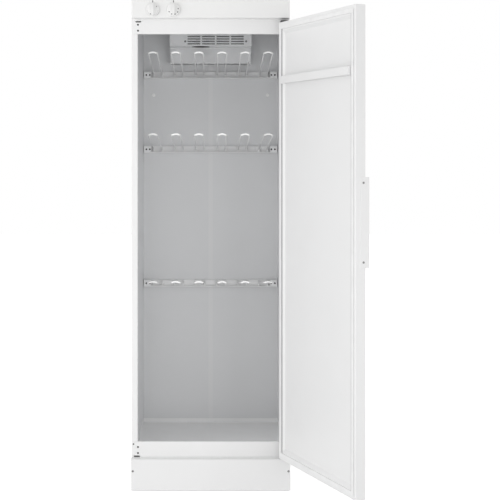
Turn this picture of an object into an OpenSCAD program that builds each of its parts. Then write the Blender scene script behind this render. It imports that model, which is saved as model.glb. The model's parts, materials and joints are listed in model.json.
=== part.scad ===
// Drying cabinet with a side-hung door, three rows of lifting hangers and a fan heater.
// Millimetres. X runs to the right seen from the front, the front faces -Y, and Z = 0 is the floor.
// The origin lies on the floor, under the middle of the cabinet body.

/* [Cabinet body] */
// Overall width of the body
cab_w = 595; // [580:1:640]
// Overall height, from the floor to the top cover
cab_h = 1832; // [1822:1:1900]
// Depth of the body behind its front face
cab_d = 575; // [560:1:640]
// Sheet thickness of the outer casing
skin_t = 0.8; // [0.6:0.1:1.2]
// Sheet thickness of the inner liner
liner_t = 0.8; // [0.6:0.1:1.2]
// Outer radius of the folds in the casing
fold_r = 2; // [1.5:0.1:3]
// Width of the casing's front flange beside the opening
flange_w = 23; // [22:0.5:28]
// Depth of the fold behind the front flange and the rails
flange_fold = 18; // [12:1:24]
// Width of the casing's rear flange
rear_flange_w = 20; // [14:1:30]
// Width of the corner lip beside the two front rails
corner_lip = 4; // [3.6:0.1:5]
// Clear depth from the front face to the rear wall of the cavity
cavity_d = 540; // [520:1:545]
// Gap between the casing's outer side and the side wall of the cavity
side_gap = 13.5; // [8:0.5:20]
// Width of the strip over the joint in the rear wall
strip_w = 18; // [12:1:30]
// Thickness of the strip over the joint in the rear wall
strip_t = 1; // [0.6:0.1:2]

/* [Front rails] */
// Height of the sill rail under the opening
sill_h = 50; // [46:1:60]
// Visible height of the header rail, under the control panel
header_h = 56; // [55:1:70]
// Height of the control panel
panel_h = 67; // [60:1:80]
// How far the door, control panel and plinth stand in front of the body
front_proj = 40; // [40:0.5:44]
// Wall thickness of the control panel
panel_t = 2.5; // [2:0.1:3]
// How far the control panel and the door stop short of the body's side
side_inset = 2.5; // [1:0.5:3.5]
// Radius of the control panel's front edges
panel_edge_r = 3; // [2.6:0.1:5]
// Height of the compartment between the cavity ceiling and the top cover
top_space = 69; // [64:1:72]

/* [Base] */
// Height of the base frame
base_h = 124; // [116:1:140]
// Sheet thickness of the base frame
base_t = 1.5; // [1.2:0.1:2]
// Width of the base frame's lips
base_lip = 36; // [35:0.5:37]
// Drop from the top of the base frame to the top of the plinth cover
plinth_drop = 7; // [6.6:0.1:9]
// Gap between the plinth cover and the floor
plinth_clear = 2; // [1:0.5:6]
// Sheet thickness of the plinth cover
plinth_t = 1; // [0.8:0.1:1.5]
// Height of the plinth screws
plinth_screw_z = 73; // [60:1:90]
// Distance of the plinth screws from the side of the body
plinth_screw_inset = 6.8; // [6:0.1:9]
// Radius of a levelling foot
foot_r = 18; // [14:1:19]
// Height of a levelling foot's pad
foot_h = 9; // [6:1:12]
// Distance of a levelling foot's axis from the sides of the base
foot_inset = 57; // [57:1:70]
// Height of the corner gussets that the feet screw into
gusset_z = 24; // [20:1:32]
// Radius of a levelling foot's stud
stud_r = 5; // [4:0.5:6]
// Length of a levelling foot's stud
stud_len = 40; // [30:1:60]

/* [Floor tray] */
// Height of the tray's upturned edges
tray_edge_h = 17; // [10:1:30]

/* [Door] */
// Thickness of the door
door_d = 37; // [36:0.5:38]
// Gap between the door's upper edge and the control panel
door_top_gap = 18; // [14:1:22]
// Gap between the door's lower edge and the plinth cover
door_low_gap = 4; // [3.8:0.1:6]
// Sheet thickness of the door's outer skin and inner panel
door_sheet = 0.8; // [0.6:0.1:1.2]
// Radius of the door skin's upright edges
door_edge_r = 2; // [1.5:0.1:3]
// Width of the rim round the door's inner face
rim_w = 21; // [18:0.5:26]
// Width of the groove that holds the seal
groove_w = 5; // [4:0.1:7]
// Depth of the groove that holds the seal
groove_d = 8; // [7:0.5:10]
// Flat land between the groove and the slope of the inner panel
land_w = 6; // [5:0.5:9]
// Width of the slope round the inner panel
slope_w = 12; // [8:1:20]
// Depth of the inner panel's recess
recess_d = 6; // [4:0.5:7]
// How far the seal's lip reaches outwards over the rim
seal_lip = 9; // [6:0.5:11]
// Gap left between the seal and the cabinet when the door is shut
seal_clear = 0.3; // [0.3:0.1:0.6]
// Opening angle of the door as drawn
door_open = 111.8; // [0:0.1:118]

/* [Hinges] */
// Radius of the hinge pins
pin_r = 4; // [3:0.5:4]
// Length of the hinge pins inside the door
pin_len = 16; // [12:1:24]
// Distance of the pin axis from the door's hinge edge
pin_edge = 9; // [8.6:0.1:9.6]
// Distance of the pin axis from the door's front
pin_front = 7; // [7:0.1:8]
// Radial clearance between a pin and its bush
pin_clear = 0.05; // [0.02:0.01:0.1]
// Wall thickness of the hinge bushes
bush_wall = 2; // [1.5:0.1:2.1]
// Thickness of the hinge brackets
hinge_t = 3; // [2.5:0.1:3.5]
// Distance of the hinge screws from the side of the body
hinge_screw_inset = 24; // [22:0.5:26]
// Distance between the two screws of a hinge
hinge_screw_pitch = 22.5; // [18:0.5:24]
// Radius of the holes for the hinge screws
hinge_hole_r = 2.75; // [2.6:0.05:3.2]
// Height of the slots that the lower hinge arm can pass through
low_slot_h = 4.5; // [4:0.1:5]
// Height of the slots that the upper hinge arm can pass through
up_slot_h = 5.5; // [5:0.1:6.5]

/* [Door handle] */
// Length of the handle
handle_len = 298; // [200:1:400]
// Height of the handle's middle above the floor
handle_z = 1031; // [900:1:1200]
// Thickness of the handle's flange
handle_t = 2.5; // [2:0.1:2.5]
// How far the handle's flange covers the door's edge
handle_cover = 18; // [14:0.5:24]
// How far the grip stands in front of the door
grip_reach = 13.5; // [10:0.5:20]
// Distance of the handle's screws from its ends
handle_screw_inset = 18.5; // [10:0.5:40]

/* [Towel rail] */
// Distance from the door's upper edge down to the towel rail's middle
towel_drop = 216; // [80:1:400]
// Height of the towel rail's strip
towel_h = 28; // [20:1:40]
// Thickness of the towel rail's strip
towel_t = 2; // [1.5:0.1:3]
// Distance from the recessed panel to the back of the strip
towel_gap = 16; // [12:0.5:18]

/* [Hanger rows] */
// Height of the lower rail's pivots
lower_z = 714; // [650:1:760]
// Height of the middle rail's pivots
middle_z = 1278; // [1230:1:1290]
// Distance from the cavity's ceiling down to the upper rail's pivots
upper_drop = 172; // [171:1:182]
// Hangers on each rail
hangers_per_rail = 6; // [4:1:6]
// Distance from a rail's end to the middle of the outermost hanger
hanger_edge = 59.25; // [56:0.25:75]
// Width of a hanger between the middles of its wires
hanger_w = 34; // [30:0.5:40]
// Length of a hanger from its pivot to its front end
hanger_len = 470; // [400:1:490]
// Slope of a hanger at rest
hanger_rise = 6.4; // [5:0.1:8]
// Diameter of the hanger wire
wire_d = 4; // [3:0.5:5]
// Diameter of the moulded cap on a hanger's front end
cap_d = 7; // [6:0.5:9]
// How far the cap bows upwards
cap_bow = 3; // [2:0.5:5]
// Radius of the wire's front bends
wire_bend_r = 5; // [4:0.5:8]
// Radial clearance of a hanger's pivots
pivot_clear = 0.1; // [0.05:0.01:0.1]
// Height of a hanger rail
rail_h = 28; // [24:1:34]
// Depth of a hanger rail
rail_d = 18; // [17:0.5:22]
// Sheet thickness of a hanger rail
rail_t = 1; // [0.8:0.1:1.5]
// Gap between a rail's ends and the side walls
rail_end_gap = 3.5; // [1:0.5:10]
// Depth of a rail's top flange
rail_top_d = 6; // [3:0.5:6.5]
// Width of the plate that closes each end of a rail
rail_plate_w = 30; // [28:1:34]
// Distance from a rail's end to the two screw holes in its plate
rail_hole_insets = [10, 24.5];
// Radius of those holes
rail_hole_r = 2.8; // [1.5:0.1:3.5]
// Distance from the rail's back to the pivots
pivot_back = 9; // [8:0.5:10]

/* [Fan unit] */
// Width of the fan cover
fan_w = 336; // [300:1:400]
// Depth of the fan cover's upper part
fan_d = 146; // [144:1:170]
// Height of the fan cover's upper part
fan_h = 62; // [58:1:64]
// Depth of the duct behind the air intake
duct_d = 65; // [60:1:66]
// Height of the duct below the air intake
duct_h = 66; // [50:1:70]
// Distance of the fan from the middle of the cabinet
fan_x = -41; // [-60:1:-36]
// Radius of the air intake
intake_r = 38; // [34:0.5:38]
// Radius of the fan wheel
wheel_r = 35; // [30:0.5:36]
// Height of the fan wheel
wheel_h = 30; // [20:1:34]
// Number of blades on the fan wheel
blades = 20; // [12:1:28]
// Louvre groups across the cover
louvre_groups = 4; // [3:1:5]
// Width of a louvre slot
louvre_w = 52.5; // [40:0.5:54]
// Gap between louvre groups
louvre_gap = 7; // [5:0.5:10]
// Rows of louvres
louvre_rows = 5; // [3:1:5]
// Distance between louvre rows
louvre_pitch = 10; // [8:0.5:10]
// Height of a louvre slot
louvre_h = 4.5; // [3:0.5:5]
// Middle of the louvres, to the side of the cabinet's middle
louvre_x = 21; // [-20:1:24]
// Slots in the underside of the duct
duct_slots = 9; // [5:1:9]
// Width of a duct slot
duct_slot_w = 27; // [20:1:30]
// Distance between duct slots
duct_slot_pitch = 35; // [33:1:36]
// Radius of the fan motor
motor_r = 32; // [26:1:36]
// Height of the fan motor
motor_h = 44; // [30:1:50]
// Radius of the fan shaft
shaft_r = 4; // [3:0.5:5]
// Radial clearance of the rotating shafts
shaft_clear = 0.05; // [0.02:0.01:0.1]
// Radius of the heating tube
heater_r = 3.25; // [2.5:0.25:4]
// Rows of the heating tube
heater_rows = 4; // [2:2:4]
// Distance between rows of the heating tube
heater_pitch = 24; // [20:1:26]

/* [Air outlet] */
// Outer radius of the outlet spigot
spigot_r = 49; // [40:0.5:50]
// Wall thickness of the outlet spigot
spigot_t = 1.5; // [1:0.1:3]
// Height of the spigot above the top cover
spigot_h = 32; // [20:1:50]
// Distance of the spigot's wall from the front of the fan cover
spigot_gap = 14; // [14:1:80]

/* [Controls] */
// Radius of the knobs' dial skirt
knob_r = 25; // [20:0.5:26]
// Height of a knob in front of the panel
knob_h = 21; // [16:0.5:26]
// Distance from the control panel's left end to the timer knob
timer_inset = 79; // [55:1:95]
// Distance between the timer knob and the programme knob
knob_spacing = 77.5; // [56:0.5:90]
// Radius of the knob shafts
knob_shaft_r = 3; // [2.5:0.25:4]
// Gap between a knob and the panel
knob_gap = 0.8; // [0.5:0.1:2]

/* [Hidden] */
$fn = 64;
front_y = -cab_d / 2;
rear_y = cab_d / 2;
panel_y = front_y - front_proj;
half_w = cab_w / 2;
open_hw = half_w - flange_w;
sill_z = base_h + sill_h;
top_z = cab_h - skin_t;
panel_z = cab_h - panel_h;
header_z = panel_z - header_h;
ceiling_z = cab_h - top_space;
rear_wall_y = front_y + cavity_d;
liner_hw = half_w - side_gap;
floor_z = base_h + liner_t;
plinth_z = base_h - plinth_drop;
rail_len = 2 * (liner_hw - rail_end_gap);
hanger_pitch = (rail_len - 2 * hanger_edge) / (hangers_per_rail - 1);
cut = 1;

// Door, shut
door_x = half_w - side_inset;
door_z0 = plinth_z + door_low_gap;
door_z1 = panel_z - door_top_gap;
door_in_y = panel_y + door_d;
pivot_x = door_x - pin_edge;
pivot_y = panel_y + pin_front;
bush_r = pin_r + pin_clear + bush_wall;
land_in = rim_w + groove_w;
slope_in = land_in + land_w;
recess_in = slope_in + slope_w;
recess_y = door_in_y - recess_d;
seal_mid = rim_w + groove_w / 2;
towel_z = door_z1 - towel_drop;
towel_end = door_x - land_in - 2 * towel_t;
grip_y = panel_y - grip_reach;

// Hinges, and the slots for both hands of the door
low_arm_z = plinth_z + 0.4;
up_slot_z = panel_z - 12.5;
up_arm_z = up_slot_z + (up_slot_h - hinge_t) / 2;
up_screw_z = panel_z - 21;
low_screw_z = base_h + 7;
screw_x = half_w - hinge_screw_inset;
low_slot_insets = [31.5, 8.5];
low_slot = [for (inset = low_slot_insets) half_w - inset];
up_slot_insets = [35.5, 14.5];
up_slot = [for (inset = up_slot_insets) half_w - inset];
slot_side = 1;
plate_end = 9;
arm_nose = 6.5;

// Hanger rows
rail_y = rear_wall_y - strip_t;
pivot_rail_y = rail_y - pivot_back;
upper_z = ceiling_z - upper_drop;
wire_r = wire_d / 2;
level_names = ["upper", "middle", "lower"];
level_z = [upper_z, middle_z, lower_z];
ear_t = 1.5;
ear_gap = 0.5;
pivot_end = 1;
stop_gap = 0.4;
plug_inset = 43.7;
plug_drop = 84;

// Fan unit, outlet and controls
fan_z = ceiling_z - fan_h;
duct_z = fan_z - duct_h;
fan_front_y = rear_wall_y - fan_d;
duct_y = rear_wall_y - duct_d;
fan_y = (fan_front_y + duct_y) / 2;
wheel_z = fan_z + skin_t + 4;
heater_y = rear_wall_y - duct_d / 2;
heater_inset = 32;
heater_end = fan_w / 2 - heater_inset;
leg_gap = 3;
leg_inset = 9;
heater_legs = [heater_end + leg_gap, fan_w / 2 - leg_inset];
leg_stub = 14;
terminal_l = 6;
terminal_r = 1.5;
heater_tie = 6;
louvre_span = louvre_groups * (louvre_w + louvre_gap) - louvre_gap;
fan_screws = [for (s = [-1, 1]) louvre_x + s * (louvre_span / 2 + 9.5)];
fan_screw_z = fan_z + 19;
spigot_y = fan_front_y - spigot_gap - spigot_r;
timer_x = timer_inset - door_x;
selector_x = timer_x + knob_spacing;
knob_z = panel_z + 30.5;
screw_r = 2.5;
head_r = 4.2;
bead_inset = 60;
ceiling_edge_h = 14;
neck_r = knob_shaft_r + 2;
shaft_depth = 20;
crown_r = 60;
dome_r = 40;
gland_inset = 80;
gland = [gland_inset - half_w, rear_y - skin_t, cab_h - top_space / 2];
gland_r = 8;

function hanger_name(level, i) = str("hanger_", level_names[level], "_", i);
function hanger_x(i) = (i - (hangers_per_rail + 1) / 2) * hanger_pitch;

// ---- Shared shapes ----

// A block between two opposite corners
module block(a, b) {
    translate(a) cube(b - a);
}

// Extrudes a profile drawn in Y and Z along X, centred on the cabinet
module along_x(w) {
    rotate([90, 0, 90]) linear_extrude(w, center = true) children();
}

// Repeats a shape on both sides of the cabinet
module both_sides() {
    children();
    mirror([1, 0, 0]) children();
}

// A flat strip between two opposite corners of a profile
module web(a, b) {
    translate(a) square(b - a);
}

// A quarter fold of sheet: the fold's centre, the sheet and which quarter it fills
module fold(c, t, turn, r = fold_r) {
    translate(c) rotate(turn) intersection() {
        difference() {
            circle(r);
            circle(r - t);
        }
        square(r);
    }
}

// A rectangle with round corners, between two opposite corners
module rounded(a, b, r) {
    web([a.x + r, a.y], [b.x - r, b.y]);
    web([a.x, a.y + r], [b.x, b.y - r]);
    for (x = [a.x + r, b.x - r]) for (y = [a.y + r, b.y - r]) translate([x, y]) circle(r);
}

// A round rod along Y, from its front end
module rod_y(r, len) {
    rotate([-90, 0, 0]) cylinder(h = len, r = r);
}

// A round rod along X, centred
module rod_x(r, len) {
    rotate([0, 90, 0]) cylinder(h = len, r = r, center = true);
}

// A pan-head screw that points along +Y, with the underside of its head at the origin
module pan_screw(len) {
    rod_y(screw_r, len);
    rotate([90, 0, 0]) rotate_extrude() difference() {
        intersection() {
            translate([0, -3.2]) circle(5.4);
            web([0, 0], [4.2, 3]);
        }
        web([0, 1.4], [0.8, 3]);
    }
}

// A countersunk screw that points along +Y, with its flush head's face at the origin
module flush_screw(len) {
    rod_y(screw_r, len);
    rotate([-90, 0, 0]) cylinder(h = head_r - screw_r, r1 = head_r, r2 = screw_r);
}

// Places a shape at each screw of the hinges that the door hangs on
module hinge_screw_spots(zs) {
    for (z = zs) translate([screw_x, front_y, z]) children();
}

// Places a shape on the door, at its drawn opening angle
module on_door() {
    translate([pivot_x, pivot_y, 0]) rotate([0, 0, door_open])
        translate([-pivot_x, -pivot_y, 0]) children();
}

// The door's outline, drawn in by a margin, between two depths
module door_slab(margin, y0, y1) {
    block([-door_x + margin, y0, door_z0 + margin], [door_x - margin, y1, door_z1 - margin]);
}

// ---- Casing ----

// One side of the casing: outer wall, front flange with its fold, and rear flange
module side_panel() {
    translate([0, 0, base_h]) linear_extrude(top_z - base_h) {
        web([-half_w, front_y + fold_r], [-half_w + skin_t, rear_y - fold_r]);
        fold([-half_w + fold_r, front_y + fold_r], skin_t, 180);
        fold([-half_w + fold_r, rear_y - fold_r], skin_t, 90);
        web([-half_w + fold_r, front_y], [-half_w + corner_lip, front_y + skin_t]);
        web([-half_w + fold_r, rear_y - skin_t], [-half_w + rear_flange_w, rear_y]);
    }
    translate([0, 0, sill_z]) linear_extrude(header_z - sill_z) {
        web([-half_w + fold_r, front_y], [-open_hw - fold_r, front_y + skin_t]);
        fold([-open_hw - fold_r, front_y + fold_r], skin_t, 270);
        web([-open_hw - skin_t, front_y + fold_r], [-open_hw, front_y + flange_fold]);
    }
}

module side_panel_left() {
    color("gainsboro") side_panel();
}

module side_panel_right() {
    color("gainsboro") mirror([1, 0, 0]) side_panel();
}

// Back sheet, inside the rear flanges, with pressed beads and the hole of the cable gland
module back_panel() {
    inner = half_w - fold_r;
    y1 = rear_y - skin_t;
    beads = [for (i = [1:3]) base_h + (top_z - base_h) * i / 4];
    color("lightgray") difference() {
        union() {
            block([-inner, y1 - skin_t, base_h], [inner, y1, top_z]);
            for (z = beads) translate([0, y1 - skin_t, z]) bead(inner - bead_inset);
        }
        for (z = beads) translate([0, y1, z]) bead(inner - bead_inset - skin_t);
        translate(gland - [0, 2 * skin_t, 0]) rod_y(gland_r, 4 * skin_t);
    }
}

// A pressed stiffening bead that stands inwards, along X
module bead(reach) {
    r = 6;
    depth = 3;
    intersection() {
        translate([0, r - depth, 0]) rod_x(r, 2 * reach);
        block([-reach, -depth, -r], [reach, 0.01, r]);
    }
}

// Flat lid with folded edges inside the casing, open for the outlet
module top_cover() {
    lip = 15;
    inner = half_w - skin_t;
    color("gainsboro") difference() {
        block([-half_w, front_y, top_z], [half_w, rear_y, cab_h]);
        translate([0, spigot_y, top_z - cut]) cylinder(h = skin_t + 2 * cut, r = spigot_r);
    }
    color("gainsboro") {
        both_sides() block([-inner, front_y + 30, top_z - lip], [-inner + skin_t, rear_y - 30, top_z]);
    }
}

// Outlet duct from the ceiling of the cavity through the top cover, with a flange on the cover
module exhaust_spigot() {
    flange = 12;
    bore_r = spigot_r - spigot_t;
    color("silver") translate([0, spigot_y, 0]) rotate_extrude() {
        web([bore_r, ceiling_z + liner_t], [spigot_r, cab_h + spigot_h]);
        web([bore_r, cab_h], [spigot_r + flange, cab_h + spigot_t]);
    }
}

// Two plain screw holes on the unused hinge side, and two countersunk ones under the hinge's screws
module hinge_holes(low_z) {
    zs = [low_z, low_z + hinge_screw_pitch];
    mirror([1, 0, 0]) hinge_screw_spots(zs) translate([0, -cut, 0]) rod_y(hinge_hole_r, 2 * cut + skin_t);
    hinge_screw_spots(zs) {
        flush_screw(2 * skin_t + cut);
        translate([0, -cut, 0]) rod_y(head_r, cut);
    }
}

// Slots for a hinge's arm on both sides
module arm_slots(span, z, h) {
    both_sides() block([span[0], front_y - cut, z], [span[1], front_y + base_t + cut, z + h]);
}

// Rail across the front above the opening. Its upper part lies behind the control panel.
module header_rail() {
    color("whitesmoke") difference() {
        along_x(2 * (half_w - corner_lip)) {
            web([front_y, header_z + fold_r], [front_y + skin_t, top_z - fold_r]);
            fold([front_y + fold_r, header_z + fold_r], skin_t, 180);
            fold([front_y + fold_r, top_z - fold_r], skin_t, 90);
            web([front_y + fold_r, header_z], [front_y + flange_fold - fold_r, header_z + skin_t]);
            fold([front_y + flange_fold - fold_r, header_z + fold_r], skin_t, 270);
            web([front_y + flange_fold - skin_t, header_z + fold_r],
                [front_y + flange_fold, ceiling_z + ceiling_edge_h]);
            web([front_y + fold_r, top_z - skin_t], [front_y + flange_fold, top_z]);
        }
        hinge_holes(up_screw_z - hinge_screw_pitch);
        arm_slots(up_slot, up_slot_z, up_slot_h);
    }
}

// Rail across the front below the opening
module sill_rail() {
    color("whitesmoke") difference() {
        along_x(2 * (half_w - corner_lip)) {
            web([front_y, base_h], [front_y + skin_t, sill_z - fold_r]);
            fold([front_y + fold_r, sill_z - fold_r], skin_t, 90);
            web([front_y + fold_r, sill_z - skin_t], [front_y + flange_fold - fold_r, sill_z]);
            fold([front_y + flange_fold - fold_r, sill_z - fold_r], skin_t, 0);
            web([front_y + flange_fold - skin_t, floor_z + tray_edge_h],
                [front_y + flange_fold, sill_z - fold_r]);
        }
        hinge_holes(low_screw_z);
        both_sides() translate([half_w - 7, front_y - cut, sill_z - 9.5]) rod_y(2.2, 2 * cut + base_t);
    }
}

// ---- Liner ----

// Floor of the cavity with upturned edges
module floor_tray() {
    y0 = front_y + flange_fold - skin_t;
    color("lightgray") difference() {
        translate([0, 0, base_h]) linear_extrude(liner_t + tray_edge_h)
            rounded([-liner_hw, y0], [liner_hw, rear_wall_y], fold_r);
        translate([0, 0, floor_z]) linear_extrude(tray_edge_h + cut)
            rounded([-liner_hw + liner_t, y0 + liner_t], [liner_hw - liner_t, rear_wall_y - liner_t],
                    fold_r - liner_t);
    }
}

// One half of the liner: a strip on the casing's fold, a step out to the side wall, and a fold
// round into half of the rear wall
module liner_half() {
    r = fold_r + liner_t;
    step_y = front_y + flange_fold;
    strip_x = -open_hw - skin_t;
    translate([0, 0, sill_z]) linear_extrude(header_z - sill_z)
        web([strip_x - liner_t, front_y + fold_r], [strip_x, step_y + liner_t]);
    translate([0, 0, floor_z + tray_edge_h]) linear_extrude(ceiling_z - floor_z - tray_edge_h)
        web([-liner_hw, step_y], [strip_x, step_y + liner_t]);
    translate([0, 0, base_h]) linear_extrude(ceiling_z - base_h) {
        web([-liner_hw - liner_t, step_y], [-liner_hw, rear_wall_y + liner_t - r]);
        fold([-liner_hw - liner_t + r, rear_wall_y + liner_t - r], liner_t, 90, r);
        web([-liner_hw - liner_t + r, rear_wall_y], [0, rear_wall_y + liner_t]);
    }
}

module liner_left() {
    color("silver") liner_half();
}

module liner_right() {
    color("silver") mirror([1, 0, 0]) liner_half();
}

// Strip over the upright joint in the rear wall
module centre_strip() {
    color("silver") block([-strip_w / 2, rail_y, floor_z + tray_edge_h],
                          [strip_w / 2, rear_wall_y, duct_z]);
}

// Ceiling of the cavity, which carries the fan, heater and outlet
module ceiling_panel() {
    out = liner_hw + liner_t;
    y0 = front_y + flange_fold;
    y1 = rear_wall_y + liner_t;
    through = liner_t + 2 * cut;
    color("silver") difference() {
        block([-out, y0, ceiling_z], [out, y1, ceiling_z + ceiling_edge_h]);
        block([-out + liner_t, y0 + liner_t, ceiling_z + liner_t],
              [out - liner_t, y1 - liner_t, ceiling_z + ceiling_edge_h + cut]);
        translate([0, spigot_y, ceiling_z - cut]) cylinder(h = through, r = spigot_r - spigot_t);
        translate([fan_x, fan_y, ceiling_z - cut]) cylinder(h = through, r = 3 * shaft_r);
        for (x = heater_legs) translate([x, heater_y, ceiling_z - cut]) cylinder(h = through, r = heater_r);
    }
}

// ---- Base ----

// Folded frame under the body, with corner gussets for the feet and tabs for the plinth cover
module base_frame() {
    color("gainsboro") difference() {
        union() {
            difference() {
                linear_extrude(base_h) rounded([-half_w, front_y], [half_w, rear_y], fold_r);
                block([-half_w + base_t, front_y + base_t, base_t],
                      [half_w - base_t, rear_y - base_t, base_h - base_t]);
                block([-half_w + base_lip, front_y + base_lip, -cut],
                      [half_w - base_lip, rear_y - base_lip, base_h + cut]);
            }
            foot_corners() gusset();
            both_sides() plinth_tab();
        }
        arm_slots(low_slot, plinth_z, low_slot_h);
        both_sides() block([low_slot[0] - slot_side, front_y + base_t, base_h - 2 * base_t],
                           [low_slot[1] + slot_side, front_y + base_t + hinge_t + 1, base_h + cut]);
    }
}

// Repeats a shape at the four feet, turned so that +X and +Y point out of the corner
module foot_corners() {
    for (sx = [-1, 1]) for (sy = [-1, 1])
        translate([sx * (half_w - foot_inset), sy * (rear_y - foot_inset), 0])
            mirror([sx < 0 ? 1 : 0, 0, 0]) mirror([0, sy < 0 ? 1 : 0, 0]) children();
}

// A corner plate with a threaded hole for a levelling foot
module gusset() {
    reach = foot_inset - base_t;
    difference() {
        block([-foot_r, -foot_r, gusset_z], [reach, reach, gusset_z + 2 * base_t]);
        translate([0, 0, gusset_z - cut]) cylinder(h = 2 * base_t + 2 * cut, r = stud_r);
    }
}

// An angle on the front of the base frame that a plinth screw holds
module plinth_tab() {
    x1 = half_w - plinth_t;
    x0 = x1 - 2 * plinth_screw_inset;
    y0 = panel_y + plinth_t;
    h = 11;
    difference() {
        union() {
            block([x0, y0, plinth_screw_z - h], [x1, y0 + base_t, plinth_screw_z + h]);
            block([x0, y0, plinth_screw_z - h], [x0 + base_t, front_y, plinth_screw_z + h]);
        }
        translate([half_w - plinth_screw_inset, y0 - cut, plinth_screw_z]) rod_y(screw_r, 2 * cut + base_t);
    }
}

module levelling_feet() {
    color("dimgray") foot_corners() {
        rotate_extrude() {
            web([0, 0], [foot_r, foot_h - 3]);
            web([0, foot_h - 3], [foot_r - 3, foot_h]);
            translate([foot_r - 3, foot_h - 3]) circle(3);
        }
        translate([0, 0, foot_h]) cylinder(h = stud_len, r = stud_r);
        translate([0, 0, foot_h]) cylinder(h = 5, r = 1.7 * stud_r, $fn = 6);
    }
}

// Cover over the front of the base, level with the shut door
module plinth_cover() {
    color("white") difference() {
        translate([0, 0, plinth_clear]) linear_extrude(plinth_z - plinth_clear)
            plinth_outline(half_w, panel_y, fold_r);
        translate([0, 0, plinth_clear - cut]) linear_extrude(plinth_z - plinth_t - plinth_clear + cut)
            plinth_outline(half_w - plinth_t, panel_y + plinth_t, fold_r - plinth_t);
        both_sides() translate([half_w - plinth_screw_inset, panel_y - cut, plinth_screw_z])
            rod_y(screw_r, 2 * cut + plinth_t);
    }
}

// Plan of the plinth cover, or of its hollow
module plinth_outline(hw, y0, r) {
    web([-hw, y0 + r], [hw, front_y]);
    web([-hw + r, y0], [hw - r, y0 + r]);
    for (x = [-hw + r, hw - r]) translate([x, y0 + r]) circle(r);
}

// Hinge screws, plinth screws and the two screws of the fan cover
module casing_screws() {
    color("gray") {
        hinge_screw_spots([up_screw_z, up_screw_z - hinge_screw_pitch, low_screw_z,
                           low_screw_z + hinge_screw_pitch]) flush_screw(9);
        both_sides() translate([half_w - plinth_screw_inset, panel_y, plinth_screw_z]) pan_screw(8);
        for (x = fan_screws) translate([x, fan_front_y, fan_screw_z]) pan_screw(6);
    }
}

// ---- Hinges ----

// Upper hinge: plate behind the header, arm through the slot, collar, and pin pointing down
module hinge_upper() {
    span = [up_slot[0] + slot_side, up_slot[1] - slot_side];
    y0 = front_y + skin_t;
    low_z = up_screw_z - hinge_screw_pitch;
    color("dimgray") difference() {
        union() {
            block([span[0], y0, low_z - plate_end], [span[1], y0 + hinge_t, up_arm_z + hinge_t]);
            hinge_arm(up_arm_z, span, y0 + hinge_t);
            translate([pivot_x, pivot_y, door_z1 - pin_len])
                cylinder(h = up_arm_z - door_z1 + pin_len, r = pin_r);
            translate([pivot_x, pivot_y, door_z1 + 0.6])
                cylinder(h = up_arm_z - door_z1 - 0.6, r = pin_r + 2);
        }
        hinge_screw_spots([low_z, up_screw_z]) flush_screw(3 * hinge_t);
    }
}

// Lower hinge: plate behind the sill, arm through the slot, and pin pointing up
module hinge_lower() {
    span = [low_slot[0] + slot_side, low_slot[1] - slot_side];
    y0 = front_y + base_t;
    high_z = low_screw_z + hinge_screw_pitch;
    color("dimgray") difference() {
        union() {
            block([span[0], y0, low_arm_z], [span[1], y0 + hinge_t, high_z + plate_end]);
            hinge_arm(low_arm_z, span, y0 + hinge_t);
            translate([pivot_x, pivot_y, low_arm_z])
                cylinder(h = door_z0 - low_arm_z + pin_len, r = pin_r);
        }
        hinge_screw_spots([low_screw_z, high_z]) flush_screw(3 * hinge_t);
    }
}

// Flat arm from a hinge's plate out through its slot, widened round the pin
module hinge_arm(z, span, y1) {
    translate([0, 0, z]) linear_extrude(hinge_t) {
        web([span[0], pivot_y], [span[1], y1]);
        web([span[0], pivot_y], [pivot_x + arm_nose, front_y - 1]);
        web([span[0] + arm_nose, pivot_y - arm_nose], [pivot_x, pivot_y]);
        for (x = [span[0] + arm_nose, pivot_x]) translate([x, pivot_y]) circle(arm_nose);
    }
}

// ---- Door ----

// Outer skin, folded round the edges into the rim, the seal groove and a ledge behind it
module door_skin() {
    t = door_sheet;
    ledge = groove_w + land_w;
    floor_y = door_in_y - groove_d;
    color("white") on_door() {
        difference() {
            door_outline(door_edge_r);
            door_slab(t, panel_y + t, door_in_y - t);
            door_slab(rim_w, door_in_y - 2 * t, door_in_y + cut);
            bush_holes();
        }
        difference() {
            door_slab(rim_w - t, floor_y, door_in_y - t);
            door_slab(rim_w, floor_y + t, door_in_y);
            door_slab(rim_w + ledge, floor_y - cut, door_in_y);
        }
    }
}

// The door's outline with its upright edges rounded
module door_outline(r) {
    translate([0, 0, door_z0]) linear_extrude(door_z1 - door_z0)
        rounded([-door_x, panel_y], [door_x, door_in_y], r);
}

module bush_holes() {
    for (z = [door_z0 - cut, door_z1 - door_sheet - cut])
        translate([pivot_x, pivot_y, z]) cylinder(h = door_sheet + 2 * cut, r = bush_r);
}

// Inner panel: a flat land round a sloped border and a recessed field
module door_inner_panel() {
    t = door_sheet;
    skirt_y = door_in_y - groove_d + t;
    color("white") on_door() difference() {
        union() {
            difference() {
                door_slab(land_in, skirt_y, door_in_y);
                door_slab(land_in + t, skirt_y - cut, door_in_y - t);
            }
            intersection() {
                door_slab(land_in, recess_y - t - cut, door_in_y);
                field(t);
            }
        }
        field(0);
        for (s = [-1, 1]) translate([s * towel_end, 0, 0]) towel_foot(cut);
    }
}

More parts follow.
